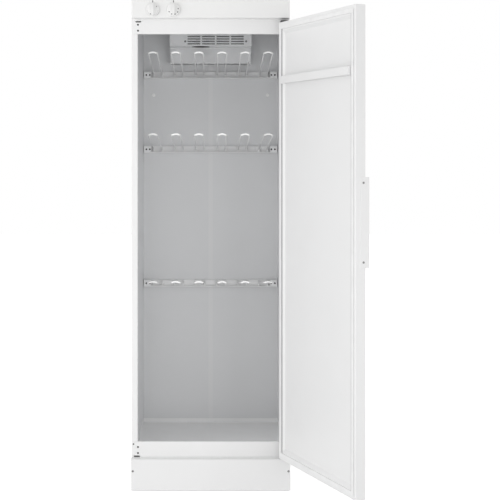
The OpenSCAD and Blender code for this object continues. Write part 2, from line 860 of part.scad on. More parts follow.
// The recess of the inner panel as a solid, grown by a margin
module field(grow) {
    lean = slope_w / recess_d;
    shift = grow * (sqrt(1 + lean * lean) - lean);
    y0 = recess_y - grow;
    y1 = door_in_y + cut;
    hx = door_x - recess_in + shift;
    zlo = door_z0 + recess_in - shift;
    zhi = door_z1 - recess_in + shift;
    out = (y1 - y0) * lean;
    intersection() {
        translate([0, 0, door_z0]) linear_extrude(door_z1 - door_z0)
            polygon([[-hx, y0], [hx, y0], [hx + out, y1], [-hx - out, y1]]);
        along_x(2 * door_x) polygon([[y0, zlo], [y0, zhi], [y1, zhi + out], [y1, zlo - out]]);
    }
}

// Seal: a foot in the groove and a flat lip that reaches out over the rim, as one closed ring
module door_seal() {
    foot_hw = (groove_w - 0.6) / 2;
    foot_y = door_in_y - groove_d + door_sheet;
    crown = front_y - seal_clear;
    lip_y = door_in_y + 0.5;
    edge = (crown - lip_y) / 2;
    out = seal_mid - foot_hw - seal_lip;
    color("silver") on_door() {
        seal_ring(seal_mid - foot_hw, seal_mid + foot_hw, foot_y, crown);
        seal_ring(out + edge, seal_mid, lip_y, crown);
        both_sides() translate([door_x - out - edge, crown - edge, door_z0 + out + edge])
            cylinder(h = door_z1 - door_z0 - 2 * (out + edge), r = edge);
        for (z = [door_z0 + out + edge, door_z1 - out - edge]) {
            translate([0, crown - edge, z]) rod_x(edge, 2 * (door_x - out - edge));
            both_sides() translate([door_x - out - edge, crown - edge, z]) sphere(edge);
        }
    }
}

// A closed ring between two margins from the door's edge and two depths
module seal_ring(m0, m1, y0, y1) {
    difference() {
        door_slab(m0, y0, y1);
        door_slab(m1, y0 - cut, y1 + cut);
    }
}

// Bushes in the door's upper and lower edges that the pins turn in
module hinge_bushes() {
    color("ivory") on_door() for (top = [false, true])
        translate([pivot_x, pivot_y, top ? door_z1 : door_z0]) mirror([0, 0, top ? 1 : 0])
            difference() {
                cylinder(h = pin_len + 2, r = bush_r);
                translate([0, 0, -cut]) cylinder(h = pin_len + 2 + 2 * cut, r = pin_r + pin_clear);
            }
}

// Flat strip across the door's inner face, its ends turned back through the inner panel
module towel_rail() {
    color("white") on_door() {
        y0 = recess_y + towel_gap;
        end = towel_end + towel_t / 2;
        block([-end, y0, towel_z - towel_h / 2], [end, y0 + towel_t, towel_z + towel_h / 2]);
        for (s = [-1, 1]) translate([s * towel_end, 0, 0]) towel_foot(0);
    }
}

// One turned-back end of the towel rail, or the slot it sits in
module towel_foot(longer) {
    block([-towel_t / 2, door_in_y - 2 - longer, towel_z - towel_h / 2],
          [towel_t / 2, recess_y + towel_gap, towel_z + towel_h / 2]);
}

// Angle handle on the free edge: a flange on the edge and a grip in front of the door
module door_handle() {
    x0 = -door_x - handle_t;
    nose = 2.5;
    color("white") on_door() difference() {
        translate([0, 0, handle_z - handle_len / 2]) linear_extrude(handle_len) {
            web([x0, grip_y + nose], [-door_x, panel_y + handle_cover]);
            translate([x0 + nose, grip_y + nose]) circle(nose);
            web([x0 + nose, grip_y], [-door_x + 8, grip_y + nose]);
            translate([-door_x + 8, grip_y + nose / 2]) circle(nose / 2);
        }
        handle_screw_spots() cylinder(h = 2 * handle_t, r = 2.2);
    }
}

// Places a shape at each screw of the handle, with its axis pointing into the door
module handle_screw_spots() {
    for (s = [-1, 1])
        translate([-door_x - handle_t, panel_y + handle_cover / 2,
                   handle_z + s * (handle_len / 2 - handle_screw_inset)]) rotate([0, 90, 0]) children();
}

module handle_screws() {
    color("gainsboro") on_door() handle_screw_spots() {
        translate([0, 0, -1.2]) cylinder(h = 1.2, r = 3.6);
        cylinder(h = handle_t, r = 2.2);
    }
}

// ---- Hanger rows ----

// Channel on the rear wall: ears that carry the hangers, stops under their wires, closed ends
module hanger_rail(z) {
    color("lightgray") translate([0, rail_y, z]) difference() {
        union() {
            along_x(rail_len) {
                web([-rail_t, -rail_h / 2], [0, rail_h / 2]);
                web([-rail_top_d, rail_h / 2 - rail_t], [0, rail_h / 2]);
                web([-rail_d, -rail_h / 2], [0, -rail_h / 2 + rail_t]);
                web([-rail_d, -rail_h / 2], [-rail_d + rail_t, -rail_h / 2 + 3 * rail_t]);
            }
            for (i = [1:hangers_per_rail]) translate([hanger_x(i), 0, 0]) both_sides() rail_ear();
            both_sides() rail_end();
        }
        for (i = [1:hangers_per_rail]) translate([hanger_x(i), -pivot_back, 0])
            rod_x(wire_r + pivot_clear, hanger_w + 4 * wire_d);
        for (inset = rail_hole_insets) both_sides()
            translate([rail_len / 2 - inset, -rail_d - cut, 0]) rod_y(rail_hole_r, rail_t + 2 * cut);
    }
}

// One ear: a cross wall of the channel beside a hanger's wire, turned in at the front as its stop
module rail_ear() {
    x0 = hanger_w / 2 + wire_r + ear_gap;
    stop_z = (rail_d - pivot_back) * tan(hanger_rise) - wire_r / cos(hanger_rise) - stop_gap;
    block([x0, -rail_d, -rail_h / 2], [x0 + ear_t, 0, rail_h / 2]);
    block([hanger_w / 2 - wire_r, -rail_d, -rail_h / 2], [x0, -rail_d + rail_t, stop_z]);
}

// One end of a rail: an end wall and a plate in front, over the rail's screws
module rail_end() {
    x1 = rail_len / 2;
    block([x1 - rail_t, -rail_d, -rail_h / 2], [x1, 0, rail_h / 2]);
    block([x1 - rail_plate_w, -rail_d, -rail_h / 2], [x1, -rail_d + rail_t, rail_h / 2]);
}

// Looped hanger: two wires with outward pivots, front bends and a bowed cap
module hanger(level, i) {
    hw = hanger_w / 2;
    reach = hanger_len - wire_bend_r;
    pivot_out = wire_r + ear_gap + ear_t + pivot_end;
    chord = hw - wire_bend_r;
    bow_r = (chord * chord + cap_bow * cap_bow) / (2 * cap_bow);
    sweep = asin(chord / bow_r);
    color("white") translate([hanger_x(i), pivot_rail_y, level_z[level]]) rotate([-hanger_rise, 0, 0]) {
        both_sides() {
            translate([hw, -reach, 0]) rod_y(wire_r, reach);
            translate([hw, 0, 0]) sphere(wire_r);
            translate([hw, 0, 0]) rotate([0, 90, 0]) cylinder(h = pivot_out, r = wire_r);
            translate([chord, -reach, 0]) rotate([0, 0, -90]) rotate_extrude(angle = 90)
                translate([wire_bend_r, 0]) circle(wire_r);
            translate([chord, -hanger_len, 0]) sphere(cap_d / 2);
        }
        translate([0, -hanger_len, cap_bow - bow_r]) rotate([90, 0, 0]) rotate([0, 0, 90 - sweep])
            rotate_extrude(angle = 2 * sweep) translate([bow_r, 0]) circle(cap_d / 2);
    }
}

// Round plugs in the holes of the rear wall
module wall_plugs() {
    color("white") both_sides() translate([liner_hw - plug_inset, rear_wall_y, upper_z - plug_drop])
        rotate([90, 0, 0]) rotate_extrude() intersection() {
            translate([0, -10]) circle(12.2);
            web([0, 0], [7, 3]);
        }
}

// ---- Fan unit ----

// Cover under the ceiling: louvred front, round intake below, and a duct down the rear wall
module fan_cover() {
    color("lightgray") difference() {
        union() {
            difference() {
                fan_space(0);
                fan_space(skin_t);
            }
            louvres() louvre_hood();
        }
        louvres() block([-louvre_w / 2, -cut, 0], [louvre_w / 2, skin_t + cut, louvre_h]);
        translate([fan_x, fan_y, fan_z - cut]) cylinder(h = skin_t + 2 * cut, r = intake_r);
        translate([fan_x - intake_r - 28, fan_front_y + 18, fan_z - cut])
            cylinder(h = skin_t + 2 * cut, r = 7);
        for (i = [0:duct_slots - 1])
            translate([(i - (duct_slots - 1) / 2) * duct_slot_pitch, duct_y + duct_d / 2, duct_z])
                cube([duct_slot_w, duct_d - 12, 4 * skin_t], center = true);
        for (x = fan_screws) translate([x, fan_front_y - cut, fan_screw_z])
            rod_y(screw_r, 2 * cut + skin_t);
    }
}

// The fan unit's outer shape, or its hollow when drawn in by the sheet
module fan_space(t) {
    past = t > 0 ? cut : 0;
    corner = [fan_w / 2 - t, rear_wall_y + past, ceiling_z + past];
    block([-fan_w / 2 + t, fan_front_y + t, fan_z + t], corner);
    block([-fan_w / 2 + t, duct_y + t, duct_z + t], corner);
}

// Places a shape at each louvre slot, with Y = 0 on the front of the cover
module louvres() {
    for (g = [0:louvre_groups - 1]) for (row = [0:louvre_rows - 1])
        translate([louvre_x - louvre_span / 2 + louvre_w / 2 + g * (louvre_w + louvre_gap),
                   fan_front_y, fan_z + 7 + row * louvre_pitch]) children();
}

// The pressed lip over a louvre slot
module louvre_hood() {
    reach = 2.4;
    translate([0, 0, louvre_h]) along_x(louvre_w)
        polygon([[0, 0], [-reach, -1.4], [-reach, -0.6], [0, 1.2]]);
}

// Motor on the ceiling panel, with its bore for the fan shaft
module fan_motor() {
    base_z = ceiling_z + liner_t;
    color("dimgray") translate([fan_x, fan_y, base_z]) difference() {
        union() {
            cylinder(h = motor_h, r = motor_r);
            cylinder(h = 3, r = motor_r + 8);
            translate([0, 0, motor_h]) cylinder(h = 4, r = motor_r / 3);
            for (a = [0:30:330]) rotate([0, 0, a])
                block([motor_r - 2, -1, 6], [motor_r + 1.5, 1, motor_h - 6]);
        }
        translate([0, 0, -cut]) cylinder(h = 25 + cut, r = shaft_r + shaft_clear);
    }
}

// Shaft from inside the motor down to the fan wheel
module fan_shaft() {
    color("silver") translate([fan_x, fan_y, wheel_z])
        cylinder(h = ceiling_z + liner_t + 24 - wheel_z, r = shaft_r);
}

// Centrifugal fan wheel: back disc, intake ring, curved blades and hub
module fan_wheel() {
    disc_t = 1.5;
    blade_t = 1;
    blade_w = 9;
    arc_r = 10;
    color("dimgray") translate([fan_x, fan_y, wheel_z]) difference() {
        union() {
            translate([0, 0, wheel_h - disc_t]) cylinder(h = disc_t, r = wheel_r);
            difference() {
                cylinder(h = disc_t, r = wheel_r);
                translate([0, 0, -cut]) cylinder(h = disc_t + 2 * cut, r = wheel_r - blade_w);
            }
            cylinder(h = wheel_h, r = 2.2 * shaft_r);
            linear_extrude(wheel_h - disc_t / 2) intersection() {
                difference() {
                    circle(wheel_r - 0.5);
                    circle(wheel_r - blade_w);
                }
                for (i = [0:blades - 1])
                    rotate(i * 360 / blades) translate([wheel_r - blade_w / 2, arc_r - 1.5]) difference() {
                        circle(arc_r);
                        circle(arc_r - blade_t);
                        translate([-2 * arc_r, 0]) square(4 * arc_r);
                    }
            }
        }
        translate([0, 0, -cut]) cylinder(h = wheel_h + 2 * cut, r = shaft_r);
    }
}

function heater_row_z(i) = fan_z - 40 + i * heater_pitch;

// Tubular heater: rows joined by half-round bends, both ends led up through the ceiling
module heater_element() {
    top_row = heater_row_z(heater_rows - 1);
    leg_top = ceiling_z + liner_t + leg_stub;
    bend = heater_pitch / 2;
    color("darkgray") translate([0, heater_y, 0]) {
        for (i = [0:heater_rows - 1]) translate([0, 0, heater_row_z(i)]) rod_x(heater_r, 2 * heater_end);
        for (i = [0:heater_rows - 2]) {
            side = i % 2 == 0 ? -1 : 1;
            translate([side * heater_end, 0, heater_row_z(i) + bend])
                rotate([90, 0, 0]) rotate([0, 0, side > 0 ? -90 : 90])
                    rotate_extrude(angle = 180) translate([bend, 0]) circle(heater_r);
        }
        for (end = [[heater_legs[0], top_row], [heater_legs[1], heater_row_z(0)]]) {
            translate([heater_end, 0, end[1]]) rotate([0, 90, 0])
                cylinder(h = end[0] - heater_end, r = heater_r);
            translate([end[0], 0, end[1]]) sphere(heater_r);
            translate([end[0], 0, end[1]]) cylinder(h = leg_top - end[1], r = heater_r);
            translate([end[0], 0, leg_top]) cylinder(h = terminal_l, r = terminal_r);
        }
        block([-heater_tie, 0, heater_row_z(0) - heater_tie],
              [heater_tie, duct_d / 2, top_row + heater_tie]);
    }
}

// ---- Control panel ----

// Moulded panel over the top of the front, open at the back
module control_panel() {
    w = 2 * door_x;
    color("white") difference() {
        panel_space(w, 0);
        panel_space(w, panel_t);
        for (x = [timer_x, selector_x])
            translate([x, panel_y - cut, knob_z]) rod_y(neck_r, 2 * cut + panel_t);
    }
}

// The panel's outer shape, or its hollow when drawn in by the wall
module panel_space(w, t) {
    r = panel_edge_r - t > 0.3 ? panel_edge_r - t : 0.3;
    y1 = front_y + (t > 0 ? cut : 0);
    intersection() {
        along_x(w - 2 * t) panel_section(panel_y + t, y1, panel_z + t, cab_h - t, r);
        linear_extrude(cab_h) mirror([1, -1]) panel_section(panel_y + t, y1, -w / 2 + t, w / 2 - t, r);
    }
}

// A rectangle from y0 to y1 and from a to b, with round corners at y0
module panel_section(y0, y1, a, b, r) {
    web([y0 + r, a], [y1, b]);
    web([y0, a + r], [y0 + r, b - r]);
    for (v = [a + r, b - r]) translate([y0 + r, v]) circle(r);
}

// A switch behind the panel: its round neck fills the panel's hole and its bore takes the shaft
module panel_switch(x) {
    translate([x, panel_y + panel_t, knob_z]) difference() {
        union() {
            translate([0, -panel_t, 0]) rod_y(neck_r, panel_t);
            children();
        }
        translate([0, -panel_t - cut, 0]) rod_y(knob_shaft_r + shaft_clear, shaft_depth + cut);
    }
}

// Clockwork timer behind the panel, with three contact blades
module timer_unit() {
    color("slategray") panel_switch(timer_x) {
        block([-27, 0, -24], [27, 2, 24]);
        block([-22, 2, -22], [22, 16, 22]);
        translate([0, 16, 0]) rod_y(20, 9);
        for (x = [-14, 0, 14]) block([x - 3, 25, -8], [x + 3, 31, -7.2]);
    }
}

// Rotary programme switch behind the panel, with a ring of contact blades
module selector_switch() {
    color("slategray") panel_switch(selector_x) {
        block([-18, 0, -18], [18, 2, 18]);
        translate([0, 2, 0]) rod_y(17, 20);
        for (a = [0:60:300]) rotate([0, a, 0]) block([-2.5, 22, 12], [2.5, 29, 12.8]);
    }
}

// Steel shaft from inside a switch out to its knob
module knob_shaft(x) {
    tip = knob_h - 5;
    color("silver") translate([x, panel_y - tip, knob_z]) rod_y(knob_shaft_r, tip + shaft_depth - 2);
}

module timer_shaft() {
    knob_shaft(timer_x);
}

module selector_shaft() {
    knob_shaft(selector_x);
}

// Knob: a dial skirt, a shallow crown and an upright grip bar
module knob(x) {
    crown_y = knob_h - 12;
    grip_hw = 4;
    grip_reach_r = knob_r - 4;
    color("white") translate([x, panel_y - knob_gap, knob_z]) rotate([90, 0, 0]) difference() {
        union() {
            rotate_extrude() {
                web([0, 0], [knob_r, 3]);
                web([0, 3], [knob_r - 3, 6]);
                intersection() {
                    translate([knob_r - 3, 3]) circle(3);
                    square(2 * knob_r);
                }
                intersection() {
                    translate([0, 9 - crown_r]) circle(crown_r);
                    web([0, 6], [knob_r - 5, 12]);
                }
            }
            intersection() {
                linear_extrude(knob_h - knob_gap) {
                    web([-grip_hw, -grip_reach_r + grip_hw], [grip_hw, grip_reach_r - grip_hw]);
                    for (s = [-1, 1]) translate([0, s * (grip_reach_r - grip_hw)]) circle(grip_hw);
                }
                translate([0, 0, knob_h - knob_gap - dome_r]) sphere(dome_r);
            }
        }
        translate([0, 0, -cut]) cylinder(h = knob_h - 5 - knob_gap + cut, r = knob_shaft_r);
        translate([0, 0, -cut]) cylinder(h = 3 + cut, r = neck_r + 1);
    }
}

module timer_knob() {
    knob(timer_x);
}

module selector_knob() {
    knob(selector_x);
}

// Gland in the back panel that the mains lead would pass through
module cable_gland() {
    inside = 8;
    outside = 12;
    color("dimgray") translate(gland) rotate([-90, 0, 0]) difference() {
        union() {
            translate([0, 0, -skin_t - inside]) cylinder(h = inside + skin_t + outside, r = gland_r);
            cylinder(h = 4, r = gland_r + 4);
            translate([0, 0, -skin_t - 4]) cylinder(h = 4, r = gland_r + 4, $fn = 6);
        }
        translate([0, 0, -skin_t - inside - cut])
            cylinder(h = inside + skin_t + outside + 2 * cut, r = gland_r / 2);
    }
}

// ---- Assembly ----

side_panel_left();
side_panel_right();
back_panel();
top_cover();
exhaust_spigot();
header_rail();
sill_rail();
floor_tray();
liner_left();
liner_right();
centre_strip();
ceiling_panel();
base_frame();
levelling_feet();
plinth_cover();
casing_screws();
control_panel();
timer_unit();
selector_switch();
fan_cover();
fan_motor();
heater_element();
hanger_rail(upper_z);  // rail_upper
hanger_rail(middle_z);  // rail_middle
hanger_rail(lower_z);  // rail_lower
hinge_upper();
hinge_lower();
wall_plugs();
cable_gland();
door_skin();
door_inner_panel();
door_seal();
hinge_bushes();
towel_rail();
door_handle();
handle_screws();
fan_wheel();
fan_shaft();
timer_knob();
timer_shaft();
selector_knob();
selector_shaft();
for (level = [0:2]) for (i = [1:hangers_per_rail])
    hanger(level, i);
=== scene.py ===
"""Drying cabinet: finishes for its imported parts, its small marks and fittings, and a studio."""

import json
import math

import bmesh
import bpy
from bpy.props import FloatProperty, FloatVectorProperty, IntProperty, PointerProperty
from mathutils import Matrix, Vector


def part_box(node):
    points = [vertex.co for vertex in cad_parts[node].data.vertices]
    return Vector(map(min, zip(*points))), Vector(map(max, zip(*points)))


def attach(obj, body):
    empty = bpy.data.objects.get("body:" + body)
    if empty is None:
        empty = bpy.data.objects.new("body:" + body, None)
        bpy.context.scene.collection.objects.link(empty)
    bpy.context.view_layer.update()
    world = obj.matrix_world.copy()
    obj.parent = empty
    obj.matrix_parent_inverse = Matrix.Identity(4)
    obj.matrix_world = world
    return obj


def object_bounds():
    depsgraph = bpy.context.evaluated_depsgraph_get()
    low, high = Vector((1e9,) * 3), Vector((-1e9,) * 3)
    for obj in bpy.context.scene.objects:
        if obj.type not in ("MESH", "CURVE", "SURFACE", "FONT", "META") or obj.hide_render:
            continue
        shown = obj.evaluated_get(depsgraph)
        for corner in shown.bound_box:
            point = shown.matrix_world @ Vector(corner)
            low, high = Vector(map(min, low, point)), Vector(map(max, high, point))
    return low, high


bl_info = {
    "name": "Drying Cabinet",
    "version": (1, 0, 0),
    "blender": (4, 5, 0),
    "location": "3D View > Sidebar > Cabinet",
    "description": "Dresses the drying cabinet's frame and sets up its studio",
    "category": "Object",
}

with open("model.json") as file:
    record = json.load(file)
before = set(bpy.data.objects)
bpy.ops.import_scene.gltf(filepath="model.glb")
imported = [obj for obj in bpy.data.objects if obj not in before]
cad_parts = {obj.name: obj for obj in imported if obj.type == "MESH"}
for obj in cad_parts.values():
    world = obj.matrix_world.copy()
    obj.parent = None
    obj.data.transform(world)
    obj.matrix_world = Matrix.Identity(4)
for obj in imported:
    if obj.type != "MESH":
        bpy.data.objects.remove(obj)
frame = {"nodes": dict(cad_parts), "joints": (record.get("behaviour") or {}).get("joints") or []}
cad_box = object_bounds()

NODES = frame["nodes"]
FRONT_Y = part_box("side_panel_left")[0].y
PANEL_LOW, PANEL_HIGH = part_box("control_panel")
FLOOR_Z = cad_box[0][2]


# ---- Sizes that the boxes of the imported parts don't give, in metres ----

# The fan cover: its sheet, the reach of its louvre hoods, the height of its louvred part,
# and its distance from the rear wall and the ceiling
COVER_WALL, HOOD_REACH, LOUVRED_HEIGHT = 0.0008, 0.0024, 0.062
COVER_TO_WALL, COVER_TO_CEILING = 0.003, 0.002
# Length of a hanger's moulded cap
CAP_LENGTH = 0.009
# A knob's domed crown, its height over the knob's back, and that of the flat ring round it
CROWN_RADIUS, CROWN_HEIGHT, RING_HEIGHT = 0.060, 0.009, 0.006
# From the door's edge to the land inside the seal's groove, and from the land to the shut casing
LAND_INSET, LAND_GAP = 0.0262, 0.003
# Spare hinge holes: in from the casing's side, up from the lower edges of header and sill rail
SPARE_INSET, HEADER_HOLES, SILL_HOLES = 0.024, (0.0125, 0.035), (0.007, 0.0295)
# Holes at the sill rail's ends: in from the end, and down from the top
SILL_END_INSET, SILL_END_DROP = 0.003, 0.0095
# Holes in the end plates of the hanger rails, in from the rail's end
PLATE_HOLES = (0.010, 0.0245)
# Grain of the coat on the fan's wheel and motor
WORKS_GRAIN = 0.001

# ---- Angles of the dial marks, in degrees clockwise from the top of a knob ----

PROGRAMME_SWEEP = (79.0, 242.0)
TIMER_SWEEP = (100.0, 260.0)
TIMER_DOTS = (52.0, 207.0)

# ---- Colours of bare, dark and printed surfaces, and of painted shade ----

DUST_GREY = (0.62, 0.61, 0.59)
# Near black painted on the sheet inside the fan cover as shade
HOLLOW_SHADE_BLACK = (0.07, 0.07, 0.072)
WHEEL_BLACK = (0.06, 0.062, 0.065)
MOTOR_BLACK = (0.05, 0.052, 0.056)
DARK_PLASTIC = (0.035, 0.037, 0.04)
GREY_INK = (0.03, 0.03, 0.032)
FAINT_INK = (0.16, 0.16, 0.163)
ZINC = (0.62, 0.63, 0.64)
TUBE_BROWN = (0.34, 0.31, 0.29)
TURNED_STEEL = (0.55, 0.55, 0.56)
HINGE_STEEL = (0.10, 0.10, 0.105)
PLATED_STEEL = (0.30, 0.30, 0.30)
# Near black painted on the hole inserts as the shade inside the holes
HOLE_SHADE_BLACK = (0.05, 0.05, 0.052)


# ---- Sizes and colours that a user would change ----


class CabinetFinish(bpy.types.PropertyGroup):
    """Colours and surface detail of the cabinet's coats"""

    coat_color: FloatVectorProperty(
        name="Casing coat",
        description="Powder coat on the casing and door",
        subtype="COLOR",
        default=(0.80, 0.80, 0.80),
        min=0.0,
        max=1.0,
    )
    liner_color: FloatVectorProperty(
        name="Liner coat",
        description="Coat on the walls of the cavity",
        subtype="COLOR",
        default=(0.76, 0.765, 0.773),
        min=0.0,
        max=1.0,
    )
    cover_color: FloatVectorProperty(
        name="Fan cover coat",
        description="Coat on the fan cover under the ceiling",
        subtype="COLOR",
        default=(0.82, 0.824, 0.83),
        min=0.0,
        max=1.0,
    )
    rail_color: FloatVectorProperty(
        name="Rail coat",
        description="Coat on the hanger rails",
        subtype="COLOR",
        default=(0.91, 0.911, 0.913),
        min=0.0,
        max=1.0,
    )
    wire_color: FloatVectorProperty(
        name="Hanger wire",
        description="White coat on the hanger wire",
        subtype="COLOR",
        default=(0.80, 0.80, 0.80),
        min=0.0,
        max=1.0,
    )
    strip_color: FloatVectorProperty(
        name="Strip coat",
        description="Coat on the strip over the joint of the liner",
        subtype="COLOR",
        default=(0.79, 0.792, 0.797),
        min=0.0,
        max=1.0,
    )
    mould_color: FloatVectorProperty(
        name="Mouldings",
        description="White plastic of the control panel and knobs",
        subtype="COLOR",
        default=(0.80, 0.80, 0.795),
        min=0.0,
        max=1.0,
    )
    cap_color: FloatVectorProperty(
        name="Caps and plugs",
        description="White plastic of the hanger caps and wall plugs",
        subtype="COLOR",
        default=(0.95, 0.95, 0.945),
        min=0.0,
        max=1.0,
    )
    seal_color: FloatVectorProperty(
        name="Door seal",
        description="Soft seal in the door's groove",
        subtype="COLOR",
        default=(0.80, 0.80, 0.80),
        min=0.0,
        max=1.0,
    )
    # Painted shadow: dark grey for the strips that stand in for the shade between the door seal and
    # the inner panel
    seal_shadow_color: FloatVectorProperty(
        name="Painted seal shadow",
        description="Painted shadow between the seal and the inner panel",
        subtype="COLOR",
        default=(0.30, 0.30, 0.305),
        min=0.0,
        max=1.0,
    )
    seal_shadow_width: FloatProperty(
        name="Painted seal shadow width",
        description="Width of the painted seal shadow on the land of the inner panel",
        subtype="DISTANCE",
        default=0.0052,
        min=0.001,
        max=0.0054,
    )
    insert_radius: FloatProperty(
        name="Insert radius",
        description="Radius of the threaded inserts in the spare hinge holes",
        subtype="DISTANCE",
        default=0.00265,
        min=0.001,
        max=0.0027,
    )
    peel_size: FloatProperty(
        name="Coat grain",
        description="Distance between the ripples of the powder coat",
        subtype="DISTANCE",
        default=0.0016,
        min=0.0005,
        max=0.01,
    )


class CabinetControls(bpy.types.PropertyGroup):
    """Marks printed on the control panel"""

    tick_length: FloatProperty(
        name="Tick length",
        description="Height of the index tick over a knob",
        subtype="DISTANCE",
        default=0.0078,
        min=0.001,
        max=0.02,
    )
    tick_width: FloatProperty(
        name="Tick width",
        description="Width of the index tick over a knob",
        subtype="DISTANCE",
        default=0.0026,
        min=0.0005,
        max=0.005,
    )
    timer_marks: IntProperty(
        name="Timer marks",
        description="Fine marks round the lower rim of the timer knob",
        default=17,
        min=2,
        max=60,
    )
    selector_marks: IntProperty(
        name="Programme dots",
        description="Dots round the lower half of the programme knob",
        default=5,
        min=2,
        max=24,
    )
    dot_radius: FloatProperty(
        name="Dot radius",
        description="Radius of the dots on the knobs",
        subtype="DISTANCE",
        default=0.0026,
        min=0.0005,
        max=0.004,
    )


class CabinetStudio(bpy.types.PropertyGroup):
    """Camera, lamps and floor"""

    camera_distance: FloatProperty(
        name="Camera distance",
        description="From the lens to the front of the cabinet body",
        subtype="DISTANCE",
        default=4.41,
        min=1.0,
        max=20.0,
    )
    camera_height: FloatProperty(
        name="Camera height",
        description="Height of the lens over the floor",
        subtype="DISTANCE",
        default=1.2477,
        min=0.1,
        max=3.0,
    )
    focal_pixels: FloatProperty(
        name="Focal length in pixels",
        description="Focal length in pixels of the 500 pixel wide picture",
        default=1171.0,
        min=200.0,
        max=4000.0,
    )
    centre_x_pixels: FloatProperty(
        name="Axis pixel, across",
        description="Column of the picture that the lens points at",
        default=210.6,
        min=0.0,
        max=500.0,
    )
    centre_y_pixels: FloatProperty(
        name="Axis pixel, down",
        description="Row of the picture that the lens points at",
        default=156.5,
        min=0.0,
        max=500.0,
    )
    front_power: FloatProperty(
        name="Front lamp",
        description="Power of the large lamp behind the camera",
        unit="POWER",
        default=2.0,
        min=0.0,
        max=2000.0,
    )
    key_power: FloatProperty(
        name="Key lamp",
        description="Power of the low lamp in front, which reaches up into the cavity",
        unit="POWER",
        default=4.0,
        min=0.0,
        max=2000.0,
    )
    fill_power: FloatProperty(
        name="Fill lamp",
        description="Power of the lamp on the left",
        unit="POWER",
        default=56.0,
        min=0.0,
        max=2000.0,
    )
    side_power: FloatProperty(
        name="Side lamp",
        description="Power of the lamp on the right",
        unit="POWER",
        default=20.0,
        min=0.0,
        max=2000.0,
    )
    surround: FloatProperty(
        name="Surround",
        description="Strength of the even light from all sides",
        default=0.73,
        min=0.0,
        max=2.0,
    )
    floor_reach: FloatProperty(
        name="Floor reach",
        description="Half the width of the studio floor",
        subtype="DISTANCE",
        default=14.0,
        min=2.0,
        max=50.0,
    )


# ---- Node groups shared by the finishes ----


def new_group(name, inputs, outputs):
    """A shader node group with named sockets, and its input and output nodes."""
    group = bpy.data.node_groups.new(name, "ShaderNodeTree")
    for label, kind, value in inputs:
        made = group.interface.new_socket(label, in_out="INPUT", socket_type=kind)
        made.default_value = value
    for label, kind in outputs:
        group.interface.new_socket(label, in_out="OUTPUT", socket_type=kind)
    return group, group.nodes.new("NodeGroupInput"), group.nodes.new("NodeGroupOutput")


def add_node(tree, kind, **settings):
    """A node of a tree with its settings applied."""
    made = tree.nodes.new(kind)
    for name, value in settings.items():
        setattr(made, name, value)
    return made


def feed(tree, value, socket):
    """Links an output to a socket, or sets a plain value on it."""
    if isinstance(value, bpy.types.NodeSocket):
        tree.links.new(value, socket)
    else:
        socket.default_value = value


def noise(tree, vector, scale, detail=2.0):
    """A noise texture's value over a vector output, at a scale in features per metre."""
    texture = add_node(tree, "ShaderNodeTexNoise")
    feed(tree, scale, texture.inputs["Scale"])
    feed(tree, detail, texture.inputs["Detail"])
    feed(tree, vector, texture.inputs["Vector"])
    return texture.outputs["Fac"]


def remap(tree, value, low, high, to_low, to_high):
    """A value moved from one range to another and held inside it."""
    made = add_node(tree, "ShaderNodeMapRange")
    labels = ("Value", "From Min", "From Max", "To Min", "To Max")
    for label, number in zip(labels, (value, low, high, to_low, to_high)):
        feed(tree, number, made.inputs[label])
    return made.outputs["Result"]


def math_node(tree, operation, *values):
    """A math node fed by outputs or plain numbers."""
    made = add_node(tree, "ShaderNodeMath", operation=operation)
    for socket, value in zip(made.inputs, values):
        feed(tree, value, socket)
    return made.outputs["Value"]


def vector_math(tree, operation, *values):
    """A vector math node fed by outputs."""
    made = add_node(tree, "ShaderNodeVectorMath", operation=operation)
    for socket, value in zip(made.inputs, values):
        feed(tree, value, socket)
    return made.outputs["Vector"]


def components(tree, vector):
    """The X, Y and Z outputs of a vector."""
    made = add_node(tree, "ShaderNodeSeparateXYZ")
    feed(tree, vector, made.inputs[0])
    return made.outputs


def mix_colors(tree, factor, first, second, blend="MIX"):
    """A colour mix fed by outputs or plain colours."""
    made = add_node(tree, "ShaderNodeMix", data_type="RGBA", blend_type=blend)
    color_a, color_b, color_result = 6, 7, 2
    sockets = (made.inputs["Factor"], made.inputs[color_a], made.inputs[color_b])
    for socket, value in zip(sockets, (factor, first, second)):
        feed(tree, value, socket)
    return made.outputs[color_result]


def grey(tree, value):
    """A neutral colour with one value in all its channels."""
    made = add_node(tree, "ShaderNodeCombineColor")
    for channel in made.inputs:
        feed(tree, value, channel)
    return made.outputs["Color"]


def object_coordinates(tree):
    """The surface's own coordinates, in metres."""
    return add_node(tree, "ShaderNodeTexCoord").outputs["Object"]


SURFACE_OUTPUTS = [
    ("Color", "NodeSocketColor"),
    ("Roughness", "NodeSocketFloat"),
    ("Height", "NodeSocketFloat"),
]


def give_surface(group, result, color, roughness, height):
    """Links a surface's colour, roughness and height to a group's outputs."""
    for label, value in (("Color", color), ("Roughness", roughness), ("Height", height)):
        group.links.new(value, result.inputs[label])


